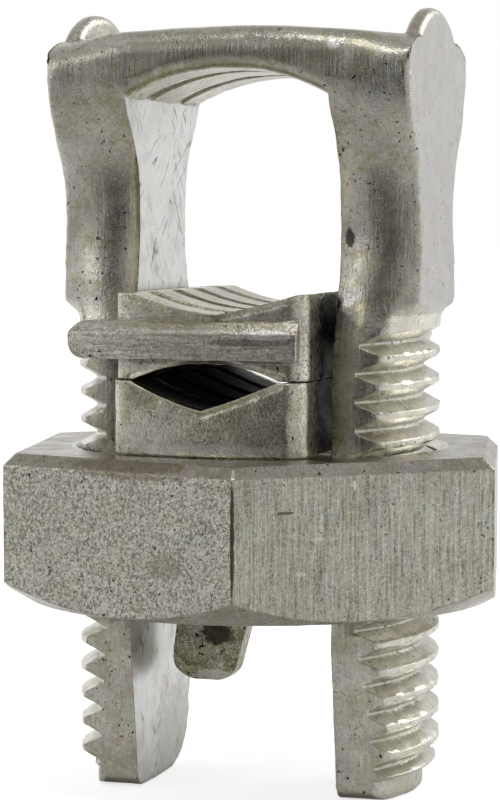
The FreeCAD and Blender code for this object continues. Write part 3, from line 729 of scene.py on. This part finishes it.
class EffectGroup:
    """A shader node group that several finishes share."""

    def __init__(self, name: str, inputs: dict[str, tuple[str, object]], outputs: dict[str, str]) -> None:
        """Makes the group and its sockets.

        Args:
            name: Name of the group.
            inputs: Socket type and starting value of each input.
            outputs: Socket type of each output.
        """
        self.tree = bpy.data.node_groups.new(name, "ShaderNodeTree")
        for key, (kind, value) in inputs.items():
            socket = self.tree.interface.new_socket(key, in_out="INPUT", socket_type=kind)
            if value is not None:
                socket.default_value = value
        for key, kind in outputs.items():
            self.tree.interface.new_socket(key, in_out="OUTPUT", socket_type=kind)
        self.sheet = NodeSheet(self.tree)
        self.start = self.sheet.add("NodeGroupInput")
        self.end = self.sheet.add("NodeGroupOutput")

    def value(self, key: str) -> Socket:
        """Output socket inside the group of one of its inputs."""
        return self.start.outputs[key]

    def give(self, key: str, socket: Socket) -> None:
        """Joins a result to an output of the group."""
        self.sheet.join(socket, self.end.inputs[key])


FLOAT = "NodeSocketFloat"
COLOUR = "NodeSocketColor"
PLACE = "NodeSocketVector"
SPECKLE_HEIGHT = 0.4
EDGE_TURN = (0.985, 0.92)
CREVICE_SHADE = (0.90, 0.35)
# Painted shade on faces that point down: the range of the normal's height over which it grows.
UNDERSIDE_SHADING = (-0.1, -0.9)
MARK_RIM = (1.1, 0.7)
SCRATCHES = ((28.0, 520.0, 0.012), (-36.0, 430.0, 0.010), (52.0, 380.0, 0.010), (-8.0, 640.0, 0.008))


class MetalEffects:
    """Effects of worn, tin plated metal and of painted shade, each built once as a group."""

    def __init__(self) -> None:
        """Builds the groups."""
        self.stains = self._stains()
        self.surface = self._surface()
        self.edges = self._edges()
        self.scratches = self._scratches()
        self.mark = self._mark()

    @staticmethod
    def _stains() -> bpy.types.NodeTree:
        """Patches where the plating is yellow, dark or faintly pink."""
        group = EffectGroup("tin_stains", {"Place": (PLACE, None), "Bright": (COLOUR, None), "Dull": (COLOUR, None),
                                           "Stain": (COLOUR, None), "Amount": (FLOAT, 0.5)},
                            {"Colour": COLOUR, "Mask": FLOAT})
        sheet = group.sheet
        place = group.value("Place")
        colour = sheet.blend(sheet.patches(place, WIDE_TONE), group.value("Dull"), group.value("Bright"))
        for pattern, share, tint in ((PINK_TONE, 0.45, (0.56, 0.48, 0.50)), (COOL_TONE, 0.4, (0.50, 0.51, 0.55))):
            colour = sheet.blend(sheet.times(sheet.patches(place, pattern), share), colour, tint)
        mask = sheet.times(sheet.patches(place, STAIN_PATCH), group.value("Amount"))
        group.give("Colour", sheet.blend(mask, colour, group.value("Stain")))
        group.give("Mask", mask)
        return group.tree

    @staticmethod
    def _surface() -> bpy.types.NodeTree:
        """Speckle, drawn lines and pits of the metal."""
        group = EffectGroup("metal_surface", {"Place": (PLACE, None), "Line Place": (PLACE, None),
                                              "Speckle": (FLOAT, 0.5), "Lines": (FLOAT, 0.5), "Pits": (FLOAT, 0.5)},
                            {"Height": FLOAT, "Tone": FLOAT, "Pit Mask": FLOAT})
        sheet = group.sheet
        place = group.value("Place")
        amount, drawn = group.value("Speckle"), group.value("Lines")
        speckle = sheet.plus(sheet.times(sheet.noise(place, FINE_SPECKLE), 0.5),
                             sheet.times(sheet.noise(place, COARSE_SPECKLE), 0.5))
        lines = sheet.noise(group.value("Line Place"), DRAWN_LINES)
        pit = sheet.times(sheet.patches(place, PITS), sheet.patches(place, PIT_ZONES))
        pit = sheet.times(pit, group.value("Pits"))
        height = sheet.times(speckle, sheet.times(amount, SPECKLE_HEIGHT))
        height = sheet.minus(sheet.plus(height, sheet.times(lines, drawn)), pit)
        tone = sheet.plus(sheet.times(sheet.minus(speckle, 0.5), amount), sheet.times(sheet.minus(lines, 0.5), drawn))
        group.give("Height", height)
        group.give("Tone", tone)
        group.give("Pit Mask", pit)
        return group.tree

    @staticmethod
    def _edges() -> bpy.types.NodeTree:
        """Masks of the edges, which the finishes paint as wear with painted highlights and painted dark outlines, and
        of painted shade in crevices, between parts and on faces that point down.
        """
        group = EffectGroup("edge_wear_and_painted_light", {"Radius": (FLOAT, 0.3 * MM), "Reach": (FLOAT, 1.6 * MM)},
                            {"Edge": FLOAT, "Crevice Shading": FLOAT, "Underside Shading": FLOAT, "Normal": PLACE})
        sheet = group.sheet
        round_edge = sheet.add("ShaderNodeBevel", samples=4)
        sheet.join(group.value("Radius"), round_edge.inputs["Radius"])
        geometry = sheet.add("ShaderNodeNewGeometry")
        turn = sheet.vector("DOT_PRODUCT", round_edge.outputs["Normal"], geometry.outputs["Normal"])
        edge = sheet.spread(turn.outputs["Value"], *EDGE_TURN)
        # Painted shade: ambient occlusion finds crevices and gaps between parts, which the finishes paint darker.
        shade = sheet.add("ShaderNodeAmbientOcclusion", samples=5, only_local=False)
        sheet.join(group.value("Reach"), shade.inputs["Distance"])
        crevice_shading = sheet.spread(shade.outputs["AO"], *CREVICE_SHADE)
        open_edge = sheet.times(edge, sheet.minus(1.0, crevice_shading))
        parts = sheet.add("ShaderNodeSeparateXYZ")
        sheet.join(geometry.outputs["Normal"], parts.inputs[0])
        group.give("Edge", open_edge)
        group.give("Crevice Shading", crevice_shading)
        # Painted shade on the faces that point down.
        group.give("Underside Shading", sheet.spread(parts.outputs["Z"], *UNDERSIDE_SHADING))
        group.give("Normal", round_edge.outputs["Normal"])
        return group.tree

    @staticmethod
    def _scratches() -> bpy.types.NodeTree:
        """Long fine scratches in a few directions, each bent a little."""
        group = EffectGroup("fine_scratches", {"Place": (PLACE, None), "Amount": (FLOAT, 1.0)}, {"Mask": FLOAT})
        sheet = group.sheet
        total = None
        for angle, density, width in SCRATCHES:
            turned = sheet.add("ShaderNodeVectorRotate", rotation_type="X_AXIS")
            sheet.feed(turned, Vector=group.value("Place"), Angle=math.radians(angle))
            drawn = sheet.add("ShaderNodeMapping", vector_type="POINT")
            sheet.feed(drawn, Vector=turned.outputs["Vector"], Scale=(0.3, 1.0, 0.10))
            band = sheet.minus(sheet.noise(drawn.outputs[0], Pattern(density, 2.0, 0.5)), 0.5)
            line = sheet.spread(sheet.math("ABSOLUTE", band), 0.0, width, 1.0, 0.0)
            gate = sheet.patches(group.value("Place"), Pattern(150.0 + 0.4 * density, low=0.48, high=0.62))
            line = sheet.times(line, gate)
            total = line if total is None else sheet.math("MAXIMUM", total, line)
        group.give("Mask", sheet.times(total, group.value("Amount")))
        return group.tree

    @staticmethod
    def _mark() -> bpy.types.NodeTree:
        """Ragged patch round one place."""
        group = EffectGroup("local_mark", {"Place": (PLACE, None), "Centre": (PLACE, None), "Spread": (PLACE, None),
                                           "Strength": (FLOAT, 1.0)}, {"Mask": FLOAT})
        sheet = group.sheet
        offset = sheet.vector("SUBTRACT", group.value("Place"), group.value("Centre"))
        scaled = sheet.vector("DIVIDE", offset.outputs[0], group.value("Spread"))
        length = sheet.vector("LENGTH", scaled.outputs[0])
        uneven = sheet.minus(sheet.noise(group.value("Place"), RAGGED_RIM), 0.5)
        ragged = sheet.plus(length.outputs["Value"], sheet.times(uneven, 1.2))
        group.give("Mask", sheet.times(sheet.spread(ragged, *MARK_RIM), group.value("Strength")))
        return group.tree


class TinMaterial:
    """One tin plated material made from the shared effects."""

    dark_range = (0.05, -0.75)
    light_range = (0.0, 0.75)
    glint = (0.90, 0.88, 0.80)
    sheen_range = (-0.04, 0.08)
    bump_height = 0.022 * MM

    def __init__(self, surface: Surface, effects: MetalEffects) -> None:
        """Keeps what the material is made from."""
        self.surface = surface
        self.finish = FINISHES[surface]
        self.effects = effects

    def _colour(self, sheet: NodeSheet, coordinate: Socket, stains: bpy.types.Node,
                surface: bpy.types.Node, edges: bpy.types.Node) -> Socket:
        """Colour of the metal with its tone, scratches, pits, marks and edges, with painted shade on faces that point
        down and in crevices; many marks are painted shade and painted highlights, and the edges add painted
        highlights and painted dark outlines to wear.

        Args:
            sheet: Node sheet of the material.
            coordinate: Place on the object.
            stains: Node of the stains group.
            surface: Node of the surface group.
            edges: Node of the edges group.

        Returns:
            The finished colour.
        """
        finish = self.finish
        dark_tone = sheet.spread(surface.outputs["Tone"], *self.dark_range)
        light_tone = sheet.spread(surface.outputs["Tone"], *self.light_range)
        colour = sheet.blend(sheet.times(dark_tone, finish.grain_depth), stains.outputs["Colour"],
                             tuple(0.42 * v for v in finish.dull))
        colour = sheet.blend(sheet.times(light_tone, 0.75 * finish.grain_depth), colour, self.glint)
        if finish.scratches > 0.0:
            scratches = sheet.use(self.effects.scratches, Place=coordinate, Amount=finish.scratches)
            colour = sheet.blend(sheet.times(scratches.outputs["Mask"], 0.7), colour, finish.scratch_colour)
        # Painted shade: faces that point down are darkened towards half the stain colour.
        colour = sheet.blend(sheet.times(edges.outputs["Underside Shading"], 0.15), colour, tuple(0.5 * v for v in finish.stain))
        # Painted shade in crevices and gaps between parts.
        colour = sheet.blend(sheet.times(edges.outputs["Crevice Shading"], finish.crevice_shading), colour, finish.crevice_shading_colour)
        colour = sheet.blend(sheet.times(surface.outputs["Pit Mask"], 0.9), colour, DARK)
        # Marks: some stains, and painted shade and painted highlights at set places.
        for mark in MARKS.get(self.surface, ()):
            centre, spread = (tuple(v * MM for v in values) for values in (mark.place, mark.reach))
            patch = sheet.use(self.effects.mark, Place=coordinate, Centre=centre, Spread=spread,
                              Strength=mark.strength)
            colour = sheet.blend(patch.outputs["Mask"], colour, mark.colour)
        # Edges: rubbed wear with painted highlights in pale edge colours and painted dark outlines in brown.
        return sheet.blend(sheet.times(edges.outputs["Edge"], finish.edge), colour, finish.edge_colour)

    def build(self) -> bpy.types.Material:
        """Makes the material.

        Returns:
            The finished material.
        """
        finish = self.finish
        material = bpy.data.materials.new(self.surface.value)
        sheet = fresh_sheet(material)
        coordinate = sheet.add("ShaderNodeTexCoord").outputs["Object"]
        along = sheet.add("ShaderNodeMapping", vector_type="POINT")
        sheet.feed(along, Vector=coordinate, Scale=finish.grain.value)
        stains = sheet.use(self.effects.stains, Place=coordinate, Bright=(*finish.bright, 1.0),
                           Dull=(*finish.dull, 1.0), Stain=(*finish.stain, 1.0), Amount=finish.stain_amount)
        surface = sheet.use(self.effects.surface, Place=coordinate, Line_Place=along.outputs["Vector"],
                            Speckle=finish.speckle, Lines=finish.lines, Pits=finish.pits)
        edges = sheet.use(self.effects.edges, Radius=finish.edge_width * MM, Reach=finish.crevice_shading_reach * MM)

        sheen = sheet.spread(sheet.noise(coordinate, SHEEN), SHEEN.low, SHEEN.high, *self.sheen_range)
        rough = sheet.plus(finish.roughness, sheet.times(stains.outputs["Mask"], 0.14))
        rough = sheet.minus(sheet.plus(rough, sheen), sheet.times(surface.outputs["Tone"], 0.05))
        bump = sheet.add("ShaderNodeBump")
        sheet.feed(bump, Height=surface.outputs["Height"], Distance=self.bump_height, Strength=1.0,
                   Normal=edges.outputs["Normal"])
        shader = sheet.add("ShaderNodeBsdfPrincipled")
        sheet.feed(shader, Base_Color=self._colour(sheet, coordinate, stains, surface, edges), Roughness=rough,
                   Normal=bump.outputs["Normal"], Metallic=finish.metallic)
        output = sheet.add("ShaderNodeOutputMaterial")
        sheet.join(shader.outputs["BSDF"], output.inputs["Surface"])
        return material


# Half widths and levels of the part in millimetres, in the shared frame.
HALF_SLOT = 8.05
CREST = 14.2
HALF_FLATS = CREST + 0.2
NUT_CORE = CREST + 0.7
THREAD_TOP = 37.2
SHOULDER_TOP = 44.0
BRIDGE_UNDER = 57.3
HEAD_END = (10.0, 4.5, 55.5)
PRESS_BASE = 26.6
LIP_LOW, LIP_HIGH = 33.6, 37.3
LIP_FACE = 10.5
TUNNEL_HALF, TUNNEL_REACH = 6.7, 12.5
TUNNEL_LOW, TUNNEL_HIGH = 29.9, 34.4
GRAINY_SIDE = math.radians(-18.3)


def from_axis(places: np.ndarray) -> np.ndarray:
    """Distance of each place from the axis of the thread."""
    return np.hypot(places[:, 0], places[:, 1])


def bolt_fine(places: np.ndarray) -> np.ndarray:
    """The threads and the underside of the bridge are divided finely."""
    wide, deep, high = HEAD_END
    thread = (from_axis(places) > CREST - 1.9) & (places[:, 2] < THREAD_TOP)
    saddle = (np.abs(places[:, 0]) < HALF_SLOT) & (places[:, 2] < BRIDGE_UNDER)
    shoulder = (from_axis(places) > CREST - 0.4) & (places[:, 2] < SHOULDER_TOP)
    corner = (np.abs(places[:, 0]) > wide) & (places[:, 2] > high) & (np.abs(places[:, 1]) > deep)
    return thread | saddle | shoulder | corner


def nut_fine(places: np.ndarray) -> np.ndarray:
    """Only the thread of the nut is divided finely."""
    return from_axis(places) < NUT_CORE


def nowhere(places: np.ndarray) -> np.ndarray:
    """No place is in the zone."""
    return np.zeros(len(places), dtype=bool)


def thread_crest(places: np.ndarray) -> np.ndarray:
    """How far a place belongs to the crests of the bolt thread, from nought to one."""
    share = np.clip((from_axis(places) - CREST + 0.8) / 0.6, 0.0, 1.0)
    return share * (places[:, 2] < THREAD_TOP)


def plain(places: np.ndarray) -> np.ndarray:
    """No place belongs to a thread crest."""
    return np.zeros(len(places))


@dataclass(frozen=True)
class LegForm:
    """Half section of a leg above its thread, and the rounded ends of the head, in millimetres."""

    inner: Span = (7.9, 5.5)
    outer: Span = (6.2, 5.3)
    crown: Span = (1.05, 0.9)
    levels: Span = (32.4, 43.0)
    step: Span = (37.35, 38.15)
    beyond: float = 18.0
    halvings: int = 24
    head_top: float = 59.1
    head_drop: float = 0.9
    end_round: Span = (4.5, 2.3)
    half_depth: float = 9.5
    ear_foot: float = 6.0
    ear_slope: float = 0.87
    end_start: Span = (9.5, 12.8)

    def face(self, across: np.ndarray, height: np.ndarray) -> np.ndarray:
        """Half depth of the leg at places across it and along it."""
        share = np.clip((height - self.levels[0]) / (self.levels[1] - self.levels[0]), 0.0, 1.0)
        inner, outer, crown = (low + (high - low) * share for low, high in (self.inner, self.outer, self.crown))
        part = np.clip((across - HALF_SLOT) / (HALF_FLATS - HALF_SLOT), 0.0, 1.0)
        return inner * (1 - part) + outer * part + crown * 4 * part * (1 - part)

    def fill_shoulder(self, points: np.ndarray) -> np.ndarray:
        """Carries the leg down to the thread, where the forging ends in a short step."""
        new = points.copy()
        use = (points[:, 2] > THREAD_TOP) & (points[:, 2] < SHOULDER_TOP) & (np.abs(points[:, 0]) > HALF_SLOT + 0.25)
        x, y, z = points[use].T
        radius = np.hypot(x, y)
        along, aside = np.abs(x) / radius, np.maximum(np.abs(y) / radius, 1e-6)
        low, high = radius.copy(), np.full(len(radius), self.beyond)
        for _ in range(self.halvings):
            middle = (low + high) / 2
            inside = (middle * along < HALF_FLATS) & (middle * aside < self.face(middle * along, z))
            low, high = np.where(inside, middle, low), np.where(inside, high, middle)
        share = np.clip((z - self.step[0]) / (self.step[1] - self.step[0]), 0.0, 1.0)
        allowed = CREST + (self.beyond - CREST) * share ** 2 * (3 - 2 * share)
        grown = np.maximum(radius, np.minimum(low, allowed)) / radius
        new[use, 0] *= grown
        new[use, 1] *= grown
        return new

    def round_ends(self, points: np.ndarray) -> np.ndarray:
        """Rounds the upper corners at both ends of the head."""
        x, y, z = np.abs(points[:, 0]), np.abs(points[:, 1]), points[:, 2]
        wide, high = self.end_round

        def top(depth: np.ndarray) -> np.ndarray:
            """Height of the upper side at a depth from the middle."""
            return (self.head_top - self.head_drop * (x / HALF_FLATS) ** 2
                    + self.ear_slope * np.maximum(self.ear_foot - depth, 0.0))

        out = (y - self.half_depth + wide) / wide
        up = (z - top(y) + high) / high
        beyond = np.hypot(out, up)
        use = (out > 0) & (up > 0) & (beyond > 1)
        share = np.clip((x - self.end_start[0]) / (self.end_start[1] - self.end_start[0]), 0.0, 1.0)
        depth = self.half_depth - wide + wide * out / np.maximum(beyond, 1.0)
        level = top(depth) - high + high * up / np.maximum(beyond, 1.0)
        new = points.copy()
        new[:, 1] = np.where(use, np.sign(points[:, 1]) * (y + (depth - y) * share), points[:, 1])
        new[:, 2] = np.where(use, z + (level - z) * share, z)
        return new

    def apply(self, points: np.ndarray) -> np.ndarray:
        """Both changes, one after the other."""
        return self.round_ends(self.fill_shoulder(points))


def as_made(points: np.ndarray) -> np.ndarray:
    """The places as they are."""
    return points


def bolt_surface(places: np.ndarray, facing: np.ndarray) -> np.ndarray:
    """Slot of each bolt triangle: forged, sawn, ear flat or thread."""
    across = np.abs(facing[:, 0]) > 0.9
    slot = np.zeros(len(places))
    slot[across & (np.abs(np.abs(places[:, 0]) - HALF_SLOT) < 0.25)] = 1
    slot[across & (np.abs(places[:, 0]) > HALF_FLATS - 0.4) & (places[:, 2] > THREAD_TOP + 0.2)] = 2
    slot[(from_axis(places) > CREST - 1.6) & (places[:, 2] < THREAD_TOP) & (slot == 0)
         & (np.abs(facing[:, 1]) < 0.93)] = 3
    return slot


def nut_surface(places: np.ndarray, facing: np.ndarray) -> np.ndarray:
    """Slot of each nut triangle: drawn sides, the two grainy sides, turned faces or thread."""
    grainy = np.abs(facing[:, 0] * math.sin(GRAINY_SIDE) - facing[:, 1] * math.cos(GRAINY_SIDE)) > 0.9
    slot = np.where(grainy, 1.0, 0.0)
    slot[np.abs(facing[:, 2]) > 0.35] = 2
    slot[from_axis(places) < NUT_CORE] = 3
    return slot


def in_tunnel(places: np.ndarray, facing: np.ndarray) -> np.ndarray:
    """Which triangles lie in the hole between the bars, which is painted dark as shade."""
    return ((np.abs(places[:, 0]) < TUNNEL_HALF) & (np.abs(places[:, 1]) < TUNNEL_REACH)
            & (places[:, 2] > TUNNEL_LOW) & (places[:, 2] < TUNNEL_HIGH) & (np.abs(facing[:, 1]) < 0.6)
            & (np.abs(facing[:, 2]) > 0.3))


def pressure_surface(places: np.ndarray, facing: np.ndarray) -> np.ndarray:
    """Slot of each pressure bar triangle: bar, tang or the groove that is painted dark as shade."""
    return np.where(places[:, 2] < PRESS_BASE, 1.0, np.where(in_tunnel(places, facing), 2.0, 0.0))


def spacer_surface(places: np.ndarray, facing: np.ndarray) -> np.ndarray:
    """Slot of each spacer bar triangle: bar, lip or the groove that is painted dark as shade."""
    lip = (np.abs(places[:, 1]) > LIP_FACE) & (places[:, 2] > LIP_LOW) & (places[:, 2] < LIP_HIGH)
    return np.where(lip & (np.abs(facing[:, 1]) > 0.5), 1.0, np.where(in_tunnel(places, facing), 2.0, 0.0))


@dataclass(frozen=True)
class Dress:
    """How one piece is worked and which finishes it gets."""

    name: str
    body: str
    slot: str
    surfaces: tuple[Surface, ...]
    choose: SlotChoice
    fine_zone: Zone = nowhere
    thread_share: Zone = plain
    form: Zone = as_made


DRESSES: dict[Piece, Dress] = {
    Piece.BOLT: Dress("forged_bolt", "split_bolt", "bolt_metal",
                      (Surface.FORGED, Surface.SAWN, Surface.EAR_FLAT, Surface.THREAD),
                      bolt_surface, bolt_fine, thread_crest, LegForm().apply),
    Piece.NUT: Dress("drawn_nut", "hex_nut", "nut_metal",
                     (Surface.DRAWN, Surface.GRAINY, Surface.TURNED, Surface.THREAD), nut_surface, nut_fine),
    Piece.PRESSURE_BAR: Dress("worn_pressure_bar", "pressure_bar", "pressure_bar_metal",
                              (Surface.BAR, Surface.TANG, Surface.GROOVE), pressure_surface),
    Piece.SPACER_BAR: Dress("worn_spacer_bar", "spacer_bar", "spacer_bar_metal",
                            (Surface.BAR, Surface.LIP, Surface.GROOVE), spacer_surface),
}


@dataclass(frozen=True)
class Lamp:
    """A soft round lamp: where it hangs, how wide it is and its power in watts."""

    name: str
    place: Triple
    width: float
    power: float


@dataclass
class Studio:
    """Camera, floor, lamps and the light all round."""

    place: Triple = (0.06461, -0.20873, 0.04479)
    pitch: float = 86.175
    roll: float = 0.0
    turn: float = 17.416
    lens: float = 124.77
    sensor: float = 36.0
    clip: Span = (0.01, 20.0)
    aim: Triple = (0.0, 0.0, 0.03)
    floor_size: float = 6.0
    floor_drop: float = 0.05 * MM
    floor_level: float = 0.70
    floor_unlit: float = 0.02
    floor_lift: float = 0.72
    floor_mirror: float = 0.6
    front: float = 3.0
    surround: tuple[Span, ...] = (
        (0.00, 0.42), (0.20, 0.52), (0.32, 0.56), (0.50, 0.62), (0.66, 0.92), (0.86, 0.98), (0.92, 0.90),
        (1.00, 0.50))
    overhead: float = 0.46
    overhead_rise: Span = (0.30, 0.75)
    dark_level: float = 0.05
    dark_half_width: Span = (34.0, 10.0)
    dark_top: Span = (0.62, 0.34)
    dark_floor: Span = (0.05, 0.13)
    white_floor: Span = (0.07, -0.05)
    lamps: tuple[Lamp, ...] = (
        Lamp("top_lamp", (0.02, -0.16, 0.55), 0.12, 0.40),
        Lamp("left_lamp", (-0.42, -0.42, 0.30), 0.22, 0.22),
        Lamp("back_lamp", (0.35, 0.45, 0.35), 0.30, 0.8),
    )

    def camera(self) -> None:
        """Sets the camera where the photograph was taken from."""
        data = bpy.data.cameras.new("photo_camera")
        data.lens = self.lens
        data.sensor_width = self.sensor
        data.clip_start, data.clip_end = self.clip
        camera = link("photo_camera", data)
        camera.location = self.place
        camera.rotation_euler = tuple(math.radians(v) for v in (self.pitch, self.roll, self.turn))
        bpy.context.scene.camera = camera

    def front_share(self, sheet: NodeSheet, east: Socket,
                    south: Socket) -> tuple[Socket, Socket]:
        """Tells how far a direction points to the photographer's side.

        Args:
            sheet: Node sheet to work in.
            east: Part of the direction along X.
            south: Part of the direction against Y.

        Returns:
            The angle from the front as a share of half a turn, and the share of the dark room that stands there.
        """
        azimuth = sheet.math("ARCTAN2", east, south)
        apart = sheet.math("ABSOLUTE", sheet.minus(azimuth, math.radians(self.front)))
        wide, narrow = (math.radians(v) for v in self.dark_half_width)
        return sheet.math("DIVIDE", apart, math.pi), sheet.spread(apart, wide, narrow)

    def world(self) -> None:
        """White background, which metal shows too, and a dark room on the photographer's side."""
        world = bpy.data.worlds.new("studio_world")
        bpy.context.scene.world = world
        sheet = fresh_sheet(world)
        way = sheet.add("ShaderNodeSeparateXYZ")
        sheet.join(sheet.add("ShaderNodeTexCoord").outputs["Generated"], way.inputs[0])
        apart, dark = self.front_share(sheet, way.outputs["X"], sheet.times(way.outputs["Y"], -1.0))
        ramp = sheet.add("ShaderNodeValToRGB")
        sheet.join(apart, ramp.inputs["Fac"])
        stops = ramp.color_ramp.elements
        for stop, (place, level) in zip([stops[0], stops[1]] + [stops.new(0.5) for _ in self.surround[2:]],
                                        self.surround):
            stop.position = place
            stop.color = (level, level, level, 1.0)
        high = sheet.spread(way.outputs["Z"], *self.overhead_rise)
        level = sheet.blend(high, ramp.outputs["Color"], (self.overhead,) * 3)
        low = sheet.spread(way.outputs["Z"], *self.dark_top)
        level = sheet.blend(sheet.times(dark, low), level, (self.dark_level,) * 3)
        rays = sheet.add("ShaderNodeLightPath")
        studio = sheet.add("ShaderNodeBackground")
        sheet.join(level, studio.inputs["Color"])
        white = sheet.add("ShaderNodeBackground")
        white.inputs["Color"].default_value = (1.0, 1.0, 1.0, 1.0)
        mix = sheet.add("ShaderNodeMixShader")
        sheet.join(rays.outputs["Is Camera Ray"], mix.inputs[0])
        sheet.join(studio.outputs[0], mix.inputs[1])
        sheet.join(white.outputs[0], mix.inputs[2])
        output = sheet.add("ShaderNodeOutputWorld")
        sheet.join(mix.outputs[0], output.inputs["Surface"])

    def floor(self) -> None:
        """White floor at the height of the leg ends, which keeps a soft shadow and ends at the dark room."""
        half = self.floor_size / 2
        mesh = bpy.data.meshes.new("floor")
        outline = [(-half, -half, 0), (half, -half, 0), (half, half, 0), (-half, half, 0)]
        mesh.from_pydata(outline, [], [(0, 1, 2, 3)])
        floor = link("floor", mesh)
        floor.location.z = -self.floor_drop
        material = bpy.data.materials.new("white_floor")
        sheet = fresh_sheet(material)
        place = sheet.add("ShaderNodeSeparateXYZ")
        sheet.join(sheet.add("ShaderNodeTexCoord").outputs["Object"], place.inputs[0])
        south = sheet.times(place.outputs["Y"], -1.0)
        dark = self.front_share(sheet, place.outputs["X"], south)[1]
        far = sheet.spread(south, *self.dark_floor)
        rays = sheet.add("ShaderNodeLightPath")
        unlit = sheet.times(sheet.times(dark, far), rays.outputs["Is Glossy Ray"])
        plain = sheet.add("ShaderNodeBsdfDiffuse")
        sheet.join(sheet.blend(unlit, (self.floor_level,) * 3, (self.floor_unlit,) * 3), plain.inputs["Color"])
        lift = sheet.add("ShaderNodeEmission")
        mirrored = sheet.math("MAXIMUM", rays.outputs["Is Glossy Ray"], rays.outputs["Is Transmission Ray"])
        behind = sheet.times(sheet.spread(south, *self.white_floor, 0.0, self.floor_mirror), mirrored)
        seen = sheet.math("MAXIMUM", rays.outputs["Is Camera Ray"], behind)
        sheet.join(sheet.times(seen, self.floor_lift), lift.inputs["Strength"])
        both = sheet.add("ShaderNodeAddShader")
        sheet.join(plain.outputs[0], both.inputs[0])
        sheet.join(lift.outputs[0], both.inputs[1])
        output = sheet.add("ShaderNodeOutputMaterial")
        sheet.join(both.outputs[0], output.inputs["Surface"])
        mesh.materials.append(material)

    def light(self) -> None:
        """Hangs the soft lamps."""
        for lamp in self.lamps:
            data = bpy.data.lights.new(lamp.name, "AREA")
            data.shape, data.size, data.energy = "DISK", lamp.width, lamp.power
            hung = link(lamp.name, data)
            hung.location = lamp.place
            aim = Vector(self.aim) - Vector(lamp.place)
            hung.rotation_euler = aim.to_track_quat("-Z", "Y").to_euler()

    def build(self) -> None:
        """Sets up the whole studio."""
        bpy.context.scene.view_settings.view_transform = "Standard"
        self.camera()
        self.world()
        self.floor()
        self.light()


def dress(piece: Piece, node: bpy.types.Object, materials: dict[Surface, bpy.types.Material]) -> None:
    """Puts a worked and finished copy in the place of a CAD node.

    Args:
        piece: Which piece it is.
        node: The CAD node.
        materials: The finished materials.
    """
    plan = DRESSES[piece]
    mesh = WorkedMesh(node, RELIEFS[piece], plan.fine_zone).divide().reshape(plan.form).smooth()
    mesh = mesh.roughen(plan.thread_share)
    worked = mesh.build(plan.name, list(plan.surfaces), plan.choose)
    for surface in plan.surfaces:
        worked.data.materials.append(materials[surface])
    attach(worked, plan.body)
    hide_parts(piece.value)


def main() -> None:
    """Builds the studio and dresses each piece."""
    logging.basicConfig(level=logging.INFO, format="%(name)s: %(message)s")
    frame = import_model()
    Studio().build()
    effects = MetalEffects()
    materials = {surface: TinMaterial(surface, effects).build() for surface in Surface}
    for piece in Piece:
        dress(piece, frame["nodes"][piece.value], materials)


if __name__ == "__main__":
    main()
